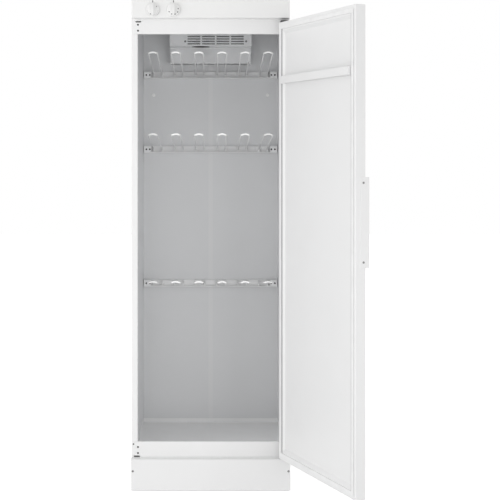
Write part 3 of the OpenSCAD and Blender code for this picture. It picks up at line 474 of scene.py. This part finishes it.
def build_coat_grain():
    """Orange-peel ripple, faint cloudiness and uneven gloss of a powder coat."""
    group, given, result = new_group(
        "Coat Grain",
        [
            ("Coat Color", "NodeSocketColor", (0.8, 0.8, 0.8, 1.0)),
            ("Grain Scale", "NodeSocketFloat", 600.0),
            ("Cloudiness", "NodeSocketFloat", 0.03),
            ("Base Roughness", "NodeSocketFloat", 0.35),
        ],
        SURFACE_OUTPUTS,
    )
    cloud_scale, gloss_scale, gloss_swing = 2.3, 38.0, 0.03
    place = object_coordinates(group)
    ripple = noise(group, place, given.outputs["Grain Scale"], detail=1.0)
    clouds = remap(group, noise(group, place, cloud_scale, detail=3.0), 0.3, 0.7, -0.5, 0.5)
    shade = math_node(group, "MULTIPLY", clouds, given.outputs["Cloudiness"])
    level = math_node(group, "SUBTRACT", 1.0, math_node(group, "ABSOLUTE", shade))
    color = mix_colors(group, 1.0, given.outputs["Coat Color"], grey(group, level), "MULTIPLY")
    uneven = noise(group, place, gloss_scale, detail=4.0)
    gloss = remap(group, uneven, 0.35, 0.65, -gloss_swing, gloss_swing)
    roughness = math_node(group, "ADD", gloss, given.outputs["Base Roughness"])
    give_surface(group, result, color, roughness, ripple)
    return group


def build_settled_dust():
    """Mask of the fine dust that gathers on faces that look up, in soft patches."""
    group, given, result = new_group(
        "Settled Dust",
        [("Amount", "NodeSocketFloat", 0.2), ("Patch Scale", "NodeSocketFloat", 14.0)],
        [("Mask", "NodeSocketFloat")],
    )
    normal = add_node(group, "ShaderNodeNewGeometry").outputs["Normal"]
    upward = remap(group, components(group, normal)["Z"], 0.4, 1.0, 0.0, 1.0)
    patches = noise(group, object_coordinates(group), given.outputs["Patch Scale"], detail=5.0)
    spread = math_node(group, "MULTIPLY", upward, remap(group, patches, 0.35, 0.65, 0.4, 1.0))
    mask = math_node(group, "MULTIPLY", spread, given.outputs["Amount"])
    group.links.new(mask, result.inputs["Mask"])
    return group


def build_rolled_streaks():
    """Fine streaks of rolled or drawn metal along one direction."""
    group, given, result = new_group(
        "Rolled Streaks",
        [
            ("Metal Color", "NodeSocketColor", (0.6, 0.6, 0.6, 1.0)),
            ("Stretch", "NodeSocketVector", (1.0, 1.0, 0.02)),
            ("Streak Scale", "NodeSocketFloat", 400.0),
            ("Contrast", "NodeSocketFloat", 0.12),
        ],
        SURFACE_OUTPUTS,
    )
    place = vector_math(group, "MULTIPLY", object_coordinates(group), given.outputs["Stretch"])
    streaks = noise(group, place, given.outputs["Streak Scale"], detail=4.0)
    depth = math_node(group, "MULTIPLY", streaks, given.outputs["Contrast"])
    tone = grey(group, math_node(group, "SUBTRACT", 1.0, depth))
    color = mix_colors(group, 1.0, given.outputs["Metal Color"], tone, "MULTIPLY")
    give_surface(group, result, color, remap(group, streaks, 0.3, 0.7, 0.28, 0.42), streaks)
    return group


def build_painted_hollow_shade():
    """Mask of the surfaces inside an upright box, such as the inner faces of a hood, where shade is
    painted.
    """
    group, given, result = new_group(
        "Painted Hollow Shade",
        [
            ("Centre", "NodeSocketVector", (0.0, 0.0, 0.0)),
            ("Half Size", "NodeSocketVector", (0.1, 0.1, 0.1)),
        ],
        [("Mask", "NodeSocketFloat")],
    )
    offset = vector_math(group, "SUBTRACT", object_coordinates(group), given.outputs["Centre"])
    reach = vector_math(group, "ABSOLUTE", offset)
    outside = components(group, vector_math(group, "SUBTRACT", reach, given.outputs["Half Size"]))
    furthest = math_node(group, "MAXIMUM", outside["X"], outside["Y"])
    furthest = math_node(group, "MAXIMUM", furthest, outside["Z"])
    group.links.new(math_node(group, "LESS_THAN", furthest, 0.0), result.inputs["Mask"])
    return group


GROUP_MAKERS = {
    "Coat Grain": build_coat_grain,
    "Settled Dust": build_settled_dust,
    "Rolled Streaks": build_rolled_streaks,
    "Painted Hollow Shade": build_painted_hollow_shade,
}


def place_group(tree, name, **values):
    """A shared group placed in a material, with its own values."""
    made = add_node(tree, "ShaderNodeGroup")
    made.node_tree = bpy.data.node_groups.get(name) or GROUP_MAKERS[name]()
    for label, value in values.items():
        made.inputs[label.replace("_", " ")].default_value = value
    return made


# ---- Materials ----


def opaque(color):
    """A colour with full alpha."""
    return (color[0], color[1], color[2], 1.0)


def new_material(name):
    """An empty node material with its Principled BSDF."""
    material = bpy.data.materials.new(name)
    material.use_nodes = True
    tree = material.node_tree
    return material, tree, tree.nodes["Principled BSDF"]


def link_surface(tree, shader, color, roughness, height=None, depth=0.0):
    """Feeds a shader its colour and roughness, and its normal from a height of some depth."""
    tree.links.new(color, shader.inputs["Base Color"])
    tree.links.new(roughness, shader.inputs["Roughness"])
    if height is not None:
        bump = add_node(tree, "ShaderNodeBump")
        bump.inputs["Distance"].default_value = depth
        tree.links.new(height, bump.inputs["Height"])
        tree.links.new(bump.outputs["Normal"], shader.inputs["Normal"])


def coated(name, color, grain, roughness=0.35, dust=0.1, painted_shade_box=None):
    """Powder-coated sheet: grain, cloudiness and a little dust on faces that look up.

    The last argument is the low and high corner of a box in which the sheet is painted near black,
    as painted shade."""
    material, tree, shader = new_material(name)
    coat = place_group(
        tree,
        "Coat Grain",
        Coat_Color=opaque(color),
        Grain_Scale=1.0 / grain,
        Cloudiness=0.03,
        Base_Roughness=roughness,
    )
    settled = place_group(tree, "Settled Dust", Amount=dust)
    shade = mix_colors(tree, settled.outputs["Mask"], coat.outputs["Color"], opaque(DUST_GREY))
    if painted_shade_box:
        low, high = painted_shade_box
        centre, half_size = (low + high) / 2, (high - low) / 2
        # Painted shade: the sheet inside the fan cover is turned near black
        inside = place_group(tree, "Painted Hollow Shade", Centre=centre, Half_Size=half_size)
        shade = mix_colors(tree, inside.outputs["Mask"], shade, opaque(HOLLOW_SHADE_BLACK))
    coarse, height = coat.outputs["Roughness"], coat.outputs["Height"]
    link_surface(tree, shader, shade, coarse, height, depth=0.00003)
    return material


def bare_metal(name, color, stretch, scale=400.0, contrast=0.15):
    """Bare or plated metal, with streaks along the axes that are stretched by less than one."""
    material, tree, shader = new_material(name)
    shader.inputs["Metallic"].default_value = 1.0
    metal = place_group(
        tree,
        "Rolled Streaks",
        Metal_Color=opaque(color),
        Stretch=stretch,
        Streak_Scale=scale,
        Contrast=contrast,
    )
    link_surface(tree, shader, *metal.outputs, depth=0.00002)
    return material


def moulded(name, color, roughness=0.34):
    """Moulded plastic with a fine spark-eroded grain."""
    material, tree, shader = new_material(name)
    grain = 0.0007
    skin = place_group(
        tree,
        "Coat Grain",
        Coat_Color=opaque(color),
        Grain_Scale=1.0 / grain,
        Cloudiness=0.015,
        Base_Roughness=roughness,
    )
    link_surface(tree, shader, *skin.outputs, depth=0.00001)
    return material


def soft_rubber(name, color):
    """Matt rubber with a fine grain and pale bloom."""
    material, tree, shader = new_material(name)
    shader.inputs["Specular IOR Level"].default_value = 0.3
    bloom_scale, matt_scale, grain_scale = 22.0, 60.0, 900.0
    place = object_coordinates(tree)
    bloom = remap(tree, noise(tree, place, bloom_scale, detail=5.0), 0.35, 0.7, 0.0, 0.25)
    pale = tuple(min(1.0, channel * 1.25) for channel in color)
    shade = mix_colors(tree, bloom, opaque(color), opaque(pale))
    roughness = remap(tree, noise(tree, place, matt_scale), 0.3, 0.7, 0.55, 0.7)
    height = noise(tree, place, grain_scale)
    link_surface(tree, shader, shade, roughness, height, depth=0.00003)
    return material


def printed_ink(name, color):
    """Flat printed ink with slightly broken cover."""
    material, tree, shader = new_material(name)
    wear_scale, matt_scale = 1800.0, 500.0
    place = object_coordinates(tree)
    thin = remap(tree, noise(tree, place, wear_scale, detail=3.0), 0.3, 0.7, 0.0, 0.2)
    worn = tuple(channel + (1.0 - channel) * 0.25 for channel in color)
    shade = mix_colors(tree, thin, opaque(color), opaque(worn))
    roughness = remap(tree, noise(tree, place, matt_scale), 0.3, 0.7, 0.4, 0.55)
    link_surface(tree, shader, shade, roughness)
    return material


def capped_wire(name, wire_color, cap_color, cap_y):
    """White coat on hanger wire, brighter and glossier on the moulded cap in front of cap_y."""
    material, tree, shader = new_material(name)
    blend, wire_roughness, cap_roughness = 0.0006, 0.38, 0.22
    along = components(tree, object_coordinates(tree))["Y"]
    on_cap = remap(tree, along, cap_y + blend, cap_y - blend, 0.0, 1.0)
    coat = place_group(
        tree,
        "Coat Grain",
        Coat_Color=opaque(wire_color),
        Grain_Scale=900.0,
        Cloudiness=0.05,
        Base_Roughness=wire_roughness,
    )
    color = mix_colors(tree, on_cap, coat.outputs["Color"], opaque(cap_color))
    roughness = remap(tree, on_cap, 0.0, 1.0, wire_roughness, cap_roughness)
    link_surface(tree, shader, color, roughness, coat.outputs["Height"], depth=0.00001)
    return material


# ---- Small tools for pieces and nodes ----


def dress(material, *names):
    """Gives CAD nodes a material."""
    for name in names:
        node = NODES[name]
        node.data.materials.clear()
        node.data.materials.append(material)


def finish_piece(name, mesh, body, material):
    """Makes an object of a bmesh that is built in place, dresses it and rides it on a body."""
    bmesh.ops.recalc_face_normals(mesh, faces=mesh.faces)
    data = bpy.data.meshes.new(name)
    mesh.to_mesh(data)
    mesh.free()
    piece = bpy.data.objects.new(name, data)
    bpy.context.scene.collection.objects.link(piece)
    data.materials.append(material)
    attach(piece, body)


def add_bar(mesh, centre, size, turn=0.0):
    """A small block, turned about the Y axis, in a bmesh."""
    place = Matrix.Translation(centre) @ Matrix.Rotation(turn, 4, "Y")
    bmesh.ops.create_cube(mesh, size=1.0, matrix=place @ Matrix.Diagonal((*size, 1.0)))


def add_disc(mesh, radius, far_radius, depth, matrix):
    """A round plug along its own Z axis, in a bmesh: its vertices."""
    made = bmesh.ops.create_cone(
        mesh,
        cap_ends=True,
        segments=24,
        radius1=radius,
        radius2=far_radius,
        depth=depth,
        matrix=matrix,
    )
    return made["verts"]


def sweep(degrees, count):
    """Angles in radians, evenly spread over a range in degrees."""
    first, last = degrees
    return [math.radians(first + (last - first) * i / (count - 1)) for i in range(count)]


def inside_of_fan_cover():
    """The box behind the fan cover's louvres, up to the ceiling and back to the rear wall, where
    shade is painted.
    """
    low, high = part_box("fan_cover")
    inner_low = Vector(
        (
            low.x + COVER_WALL,
            low.y + HOOD_REACH + COVER_WALL,
            high.z - LOUVRED_HEIGHT + COVER_WALL,
        )
    )
    return inner_low, high + Vector((-COVER_WALL, COVER_TO_WALL, COVER_TO_CEILING))


def place_on_stage(obj):
    """Links an object to the scene."""
    bpy.context.scene.collection.objects.link(obj)


# ---- Operators: one for each group of pieces ----


class CABINET_OT_finish_casing(bpy.types.Operator):
    """Powder coat on the casing and door, and bare sheet on the back and outlet"""

    bl_idname = "cabinet.finish_casing"
    bl_label = "Finish Casing"

    def execute(self, context):
        settings = context.scene.cabinet_finish
        coat = coated("Casing Coat", settings.coat_color, settings.peel_size)
        dress(
            coat,
            "side_panel_left",
            "side_panel_right",
            "top_cover",
            "header_rail",
            "sill_rail",
            "base_frame",
            "plinth_cover",
            "door_skin",
            "door_inner_panel",
            "towel_rail",
            "door_handle",
        )
        sheet = bare_metal("Zinc Sheet", ZINC, stretch=(1.0, 1.0, 0.03), scale=260.0)
        dress(sheet, "back_panel", "exhaust_spigot")
        return {"FINISHED"}


class CABINET_OT_finish_liner(bpy.types.Operator):
    """Coat on the cavity's walls, floor, ceiling and hanger rails, with painted shade behind the
    fan cover
    """

    bl_idname = "cabinet.finish_liner"
    bl_label = "Finish Liner"

    def execute(self, context):
        settings = context.scene.cabinet_finish
        grain, painted_shade_box = settings.peel_size, inside_of_fan_cover()
        coat = coated("Liner Coat", settings.liner_color, grain, roughness=0.42, painted_shade_box=painted_shade_box)
        dress(coat, "liner_left", "liner_right", "ceiling_panel")
        tray = coated("Tray Coat", settings.rail_color, grain, roughness=0.4, dust=0.12)
        dress(tray, "floor_tray")
        rail_coat = coated("Rail Coat", settings.rail_color, grain, roughness=0.38)
        dress(rail_coat, "rail_upper", "rail_middle", "rail_lower")
        dress(coated("Strip Coat", settings.strip_color, grain, roughness=0.38), "centre_strip")
        return {"FINISHED"}


class CABINET_OT_finish_fan_unit(bpy.types.Operator):
    """Finishes of the fan cover, wheel, motor and heater, with painted shade inside the fan cover
    """

    bl_idname = "cabinet.finish_fan_unit"
    bl_label = "Finish Fan Unit"

    def execute(self, context):
        settings = context.scene.cabinet_finish
        grain, painted_shade_box = settings.peel_size, inside_of_fan_cover()
        cover = coated("Cover Coat", settings.cover_color, grain, roughness=0.4, painted_shade_box=painted_shade_box)
        dress(cover, "fan_cover")
        wheel = coated("Wheel Coat", WHEEL_BLACK, WORKS_GRAIN, roughness=0.5, dust=0.35)
        dress(wheel, "fan_wheel")
        dress(coated("Motor Coat", MOTOR_BLACK, WORKS_GRAIN, roughness=0.45), "fan_motor")
        tube = bare_metal(
            "Heater Tube", TUBE_BROWN, stretch=(0.02, 1.0, 1.0), scale=500.0, contrast=0.4
        )
        dress(tube, "heater_element")
        shafts = bare_metal("Turned Steel", TURNED_STEEL, stretch=(1.0, 0.05, 0.05), scale=900.0)
        dress(shafts, "fan_shaft", "timer_shaft", "selector_shaft")
        return {"FINISHED"}


class CABINET_OT_finish_hangers(bpy.types.Operator):
    """White wire with brighter caps on all hangers"""

    bl_idname = "cabinet.finish_hangers"
    bl_label = "Finish Hangers"

    def execute(self, context):
        settings = context.scene.cabinet_finish
        hangers = [name for name in NODES if name.startswith("hanger_")]
        cap_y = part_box(hangers[0])[0].y + CAP_LENGTH
        wire = capped_wire("Capped Wire", settings.wire_color, settings.cap_color, cap_y)
        dress(wire, *hangers)
        return {"FINISHED"}


class CABINET_OT_finish_fittings(bpy.types.Operator):
    """Finishes of the control panel, knobs, seal, hinges, feet and screws"""

    bl_idname = "cabinet.finish_fittings"
    bl_label = "Finish Fittings"

    def execute(self, context):
        settings = context.scene.cabinet_finish
        white = moulded("White Moulding", settings.mould_color)
        dress(white, "control_panel", "timer_knob", "selector_knob", "hinge_bushes")
        dress(moulded("Plug Moulding", settings.cap_color), "wall_plugs")
        dark = moulded("Dark Moulding", DARK_PLASTIC, roughness=0.45)
        dress(dark, "timer_unit", "selector_switch", "cable_gland", "levelling_feet")
        dress(soft_rubber("Seal Rubber", settings.seal_color), "door_seal")
        steel = bare_metal(
            "Hinge Steel", HINGE_STEEL, stretch=(1.0, 1.0, 0.1), scale=700.0, contrast=0.3
        )
        dress(steel, "hinge_upper", "hinge_lower")
        plated = bare_metal(
            "Plated Screws", PLATED_STEEL, stretch=(1.0, 1.0, 1.0), scale=1500.0, contrast=0.3
        )
        dress(plated, "casing_screws", "handle_screws")
        return {"FINISHED"}


class CABINET_OT_print_marks(bpy.types.Operator):
    """Index ticks on the panel and dial marks round both knobs"""

    bl_idname = "cabinet.print_marks"
    bl_label = "Print Dial Marks"

    def execute(self, context):
        settings = context.scene.cabinet_controls
        ink = printed_ink("Grey Ink", GREY_INK)
        faint = printed_ink("Faint Ink", FAINT_INK)
        timer_dot_scale = 0.85
        timer_dots = [math.radians(angle) for angle in TIMER_DOTS]
        self.print_ticks(settings, ink)
        programmes = sweep(PROGRAMME_SWEEP, settings.selector_marks)
        self.print_dots("selector", programmes, settings.dot_radius, ink)
        self.print_dots("timer", timer_dots, settings.dot_radius * timer_dot_scale, faint)
        self.print_rim("timer", settings.timer_marks, faint)
        return {"FINISHED"}

    def print_ticks(self, settings, ink):
        """One tick over each knob, a coat of ink thick."""
        mesh = bmesh.new()
        ink_depth, rise = 0.0002, 0.0062
        for knob in ("timer_knob", "selector_knob"):
            low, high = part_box(knob)
            centre = Vector(((low.x + high.x) / 2, PANEL_LOW.y - ink_depth / 2, high.z + rise))
            add_bar(mesh, centre, (settings.tick_width, ink_depth, settings.tick_length))
        finish_piece("index_ticks", mesh, "cabinet", ink)

    def print_dots(self, body, angles, dot_radius, ink):
        """Round dots set into a knob's domed crown, at angles clockwise from its top."""
        low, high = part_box(body + "_knob")
        centre = (low + high) / 2
        reach, dot_depth, lift, taper = 0.0185, 0.0005, 0.00005, 0.94
        to_crown_centre = math.sqrt(CROWN_RADIUS * CROWN_RADIUS - reach * reach)
        height = CROWN_HEIGHT - CROWN_RADIUS + to_crown_centre
        mesh = bmesh.new()
        for angle in angles:
            outward = Vector((math.sin(angle), 0.0, math.cos(angle)))
            facing = Vector((0.0, -to_crown_centre, 0.0)) + outward * reach
            turn = facing.to_track_quat("Z", "Y").to_matrix().to_4x4()
            spot = Vector((centre.x, high.y - height, centre.z)) + outward * reach
            place = Matrix.Translation(spot) @ turn
            verts = add_disc(mesh, dot_radius, dot_radius * taper, dot_depth, place)
            bmesh.ops.translate(mesh, verts=verts, vec=facing.normalized() * lift)
        finish_piece(body + "_dots", mesh, body, ink)

    def print_rim(self, body, count, ink):
        """Fine marks on the flat ring round a knob's crown, on its lower half."""
        low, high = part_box(body + "_knob")
        centre = (low + high) / 2
        reach, mark_size = 0.0209, (0.0009, 0.0003, 0.0017)
        mesh = bmesh.new()
        for angle in sweep(TIMER_SWEEP, count):
            outward = Vector((math.sin(angle), 0.0, math.cos(angle)))
            spot = Vector((centre.x, high.y - RING_HEIGHT, centre.z)) + outward * reach
            add_bar(mesh, spot, mark_size, angle)
        finish_piece(body + "_rim_marks", mesh, body, ink)


class CABINET_OT_paint_seal_shadow(bpy.types.Operator):
    """Painted shadow along the door seal: thin dark grey strips up both sides, on the land inside
    the groove, where the shade between the seal and the inner panel falls
    """

    bl_idname = "cabinet.fit_seal_lips"
    bl_label = "Paint Seal Shadow"

    def execute(self, context):
        settings = context.scene.cabinet_finish
        hinge = next(joint for joint in frame["joints"] if joint["name"] == "door_hinge")
        low, high = (corner.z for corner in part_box("door_skin"))
        thick = 0.0006
        length = high - low - 2 * LAND_INSET
        across = PANEL_HIGH.x - LAND_INSET - settings.seal_shadow_width / 2
        mesh = bmesh.new()
        for side in (-1.0, 1.0):
            centre = (side * across, FRONT_Y - LAND_GAP + thick / 2, (low + high) / 2)
            add_bar(mesh, centre, (settings.seal_shadow_width, thick, length))
        bmesh.ops.bevel(
            mesh,
            geom=mesh.edges[:],
            affect="EDGES",
            offset=thick / 3,
            segments=2,
            profile=0.5,
            material=-1,
        )
        open_door = Matrix.Rotation(math.radians(-hinge["range_deg"][0]), 3, "Z")
        bmesh.ops.rotate(mesh, verts=mesh.verts, cent=hinge["pos_m"], matrix=open_door)
        # The strips are painted shadow, given a rubber finish
        rubber = soft_rubber("Painted Seal Shadow", settings.seal_shadow_color)
        finish_piece("seal_painted_shadow", mesh, "door", rubber)
        return {"FINISHED"}


class CABINET_OT_fit_hole_inserts(bpy.types.Operator):
    """Inserts in the spare hinge holes, the sill's end holes and the rails' end plates, near black
    as painted shade for the insides of the holes
    """

    bl_idname = "cabinet.fit_hole_inserts"
    bl_label = "Fit Hole Inserts"

    def execute(self, context):
        settings = context.scene.cabinet_finish
        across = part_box("side_panel_left")[0].x + SPARE_INSET
        header_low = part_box("header_rail")[0]
        sill_low, sill_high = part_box("sill_rail")
        heights = [header_low.z + rise for rise in HEADER_HOLES]
        heights += [sill_low.z + rise for rise in SILL_HOLES]
        sill_insert_scale = 0.8
        mesh = bmesh.new()
        for z in heights:
            self.add_insert(mesh, Vector((across, FRONT_Y, z)), settings.insert_radius)
        for side in (-1.0, 1.0):
            sill_x = side * (sill_high.x - SILL_END_INSET)
            mouth = Vector((sill_x, FRONT_Y, sill_high.z - SILL_END_DROP))
            self.add_insert(mesh, mouth, settings.insert_radius * sill_insert_scale)
            for rail in ("rail_upper", "rail_middle", "rail_lower"):
                low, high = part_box(rail)
                for inset in PLATE_HOLES:
                    mouth = Vector((side * (high.x - inset), low.y, (low.z + high.z) / 2))
                    self.add_insert(mesh, mouth, settings.insert_radius)
        # Painted shade: the inserts are near black so the holes read dark
        steel = bare_metal(
            "Hole Shade Steel", HOLE_SHADE_BLACK, stretch=(1.0, 0.1, 1.0), scale=900.0, contrast=0.3
        )
        finish_piece("hole_inserts", mesh, "cabinet", steel)
        return {"FINISHED"}

    def add_insert(self, mesh, mouth, radius):
        """A blind sleeve behind the mouth of a hole, with a thin collar in front."""
        depth, collar = 0.008, 0.00015
        collar_width, rim_width, edge_width, bore_depth = 0.35, 0.6, 0.04, 0.7
        place = Matrix.Translation(mouth + Vector((0.0, depth / 2, 0.0)))
        backward = Matrix.Rotation(math.pi / 2, 4, "X")
        verts = add_disc(mesh, radius, radius, depth, place @ backward)
        faces = {face for vert in verts for face in vert.link_faces}
        front = min(faces, key=lambda face: face.calc_center_median().y)
        bmesh.ops.inset_region(mesh, faces=[front], thickness=-radius * collar_width)
        bmesh.ops.translate(mesh, verts=front.verts, vec=(0.0, -collar, 0.0))
        bmesh.ops.inset_region(mesh, faces=[front], thickness=radius * rim_width)
        bmesh.ops.inset_region(
            mesh, faces=[front], thickness=radius * edge_width, depth=-depth * bore_depth
        )


class CABINET_OT_set_stage(bpy.types.Operator):
    """Studio floor, surround, lamps and the camera"""

    bl_idname = "cabinet.set_stage"
    bl_label = "Set Stage"

    def execute(self, context):
        settings = context.scene.cabinet_studio
        context.scene.view_settings.view_transform = "Standard"
        self.lay_floor(settings)
        self.light_surround(context, settings)
        self.hang_lamps(settings)
        self.aim_camera(context, settings)
        return {"FINISHED"}

    def lay_floor(self, settings):
        """A pale floor just below the feet that shows white to the camera."""
        below_feet, glow_to_camera = 0.0005, 0.5
        mesh = bmesh.new()
        bmesh.ops.create_grid(mesh, x_segments=1, y_segments=1, size=settings.floor_reach)
        bmesh.ops.translate(mesh, verts=mesh.verts, vec=(0.0, 0.0, FLOOR_Z - below_feet))
        data = bpy.data.meshes.new("studio_floor")
        mesh.to_mesh(data)
        mesh.free()
        material, tree, shader = new_material("Studio Floor")
        speckle = remap(tree, noise(tree, object_coordinates(tree), 3.0), 0.3, 0.7, 0.86, 0.88)
        tree.links.new(grey(tree, speckle), shader.inputs["Base Color"])
        shader.inputs["Roughness"].default_value = 0.9
        shader.inputs["Specular IOR Level"].default_value = 0.0
        rays = add_node(tree, "ShaderNodeLightPath")
        strength = math_node(tree, "MULTIPLY", rays.outputs["Is Camera Ray"], glow_to_camera)
        glow = add_node(tree, "ShaderNodeEmission")
        tree.links.new(strength, glow.inputs["Strength"])
        both = add_node(tree, "ShaderNodeAddShader")
        tree.links.new(shader.outputs["BSDF"], both.inputs[0])
        tree.links.new(glow.outputs["Emission"], both.inputs[1])
        tree.links.new(both.outputs["Shader"], tree.nodes["Material Output"].inputs["Surface"])
        floor = bpy.data.objects.new("studio_floor", data)
        data.materials.append(material)
        place_on_stage(floor)

    def light_surround(self, context, settings):
        """A world that lights evenly and looks white to the camera and in gloss."""
        world = bpy.data.worlds.new("Studio Surround")
        context.scene.world = world
        world.use_nodes = True
        tree = world.node_tree
        rays = add_node(tree, "ShaderNodeLightPath").outputs
        seen = math_node(tree, "MAXIMUM", rays["Is Camera Ray"], rays["Is Glossy Ray"])
        seen = math_node(tree, "MAXIMUM", seen, rays["Is Transmission Ray"])
        background = tree.nodes["Background"]
        background.inputs["Color"].default_value = opaque((1.0, 1.0, 1.0))
        strength = remap(tree, seen, 0.0, 1.0, settings.surround, 1.0)
        tree.links.new(strength, background.inputs["Strength"])

    def hang_lamps(self, settings):
        """Lamps on the left and right, and weak ones low in front and behind the camera."""
        for name, power, size, place, aim_z in (
            ("front_lamp", settings.front_power, 2.0, (-0.3, -4.9, 1.3), 0.95),
            ("key_lamp", settings.key_power, 1.2, (0.0, -2.2, 0.2), 1.6),
            ("fill_lamp", settings.fill_power, 2.2, (-3.4, -2.6, 1.2), 0.95),
            ("side_lamp", settings.side_power, 1.6, (2.0, -3.8, 0.8), 0.95),
        ):
            lamp = bpy.data.lights.new(name, "AREA")
            lamp.energy = power
            lamp.size = size
            holder = bpy.data.objects.new(name, lamp)
            holder.location = place
            aim = Vector((0.0, FRONT_Y, aim_z)) - Vector(place)
            holder.rotation_euler = aim.to_track_quat("-Z", "Y").to_euler()
            bpy.context.scene.collection.objects.link(holder)

    def aim_camera(self, context, settings):
        """A level camera, square to the front, framed by shift alone."""
        picture = 500.0
        data = bpy.data.cameras.new("cabinet_camera")
        data.sensor_width = 36.0
        data.lens = settings.focal_pixels / picture * data.sensor_width
        data.shift_x = (picture / 2 - settings.centre_x_pixels) / picture
        data.shift_y = (settings.centre_y_pixels - picture / 2) / picture
        camera = bpy.data.objects.new("cabinet_camera", data)
        depth, height = settings.camera_distance, settings.camera_height
        camera.location = (0.0, FRONT_Y - depth, FLOOR_Z + height)
        camera.rotation_euler = (math.pi / 2, 0.0, 0.0)
        context.scene.collection.objects.link(camera)
        context.scene.camera = camera


class CABINET_PT_dresser(bpy.types.Panel):
    """Sidebar panel with the settings and steps"""

    bl_label = "Drying Cabinet"
    bl_space_type = "VIEW_3D"
    bl_region_type = "UI"
    bl_category = "Cabinet"

    def draw(self, context):
        scene = context.scene
        for settings in (scene.cabinet_finish, scene.cabinet_controls, scene.cabinet_studio):
            box = self.layout.box()
            for name in settings.bl_rna.properties.keys():
                if name not in ("rna_type", "name"):
                    box.prop(settings, name)
        for step in STEPS:
            self.layout.operator(step.bl_idname)


STEPS = (
    CABINET_OT_set_stage,
    CABINET_OT_finish_casing,
    CABINET_OT_finish_liner,
    CABINET_OT_finish_fan_unit,
    CABINET_OT_finish_hangers,
    CABINET_OT_finish_fittings,
    CABINET_OT_print_marks,
    CABINET_OT_paint_seal_shadow,
    CABINET_OT_fit_hole_inserts,
)
CLASSES = (CabinetFinish, CabinetControls, CabinetStudio) + STEPS + (CABINET_PT_dresser,)


def register():
    for item in CLASSES:
        bpy.utils.register_class(item)
    bpy.types.Scene.cabinet_finish = PointerProperty(type=CabinetFinish)
    bpy.types.Scene.cabinet_controls = PointerProperty(type=CabinetControls)
    bpy.types.Scene.cabinet_studio = PointerProperty(type=CabinetStudio)


def unregister():
    del bpy.types.Scene.cabinet_studio
    del bpy.types.Scene.cabinet_controls
    del bpy.types.Scene.cabinet_finish
    for item in reversed(CLASSES):
        bpy.utils.unregister_class(item)


def main():
    register()
    for step in STEPS:
        family, name = step.bl_idname.split(".")
        getattr(getattr(bpy.ops, family), name)()


if __name__ == "__main__":
    main()
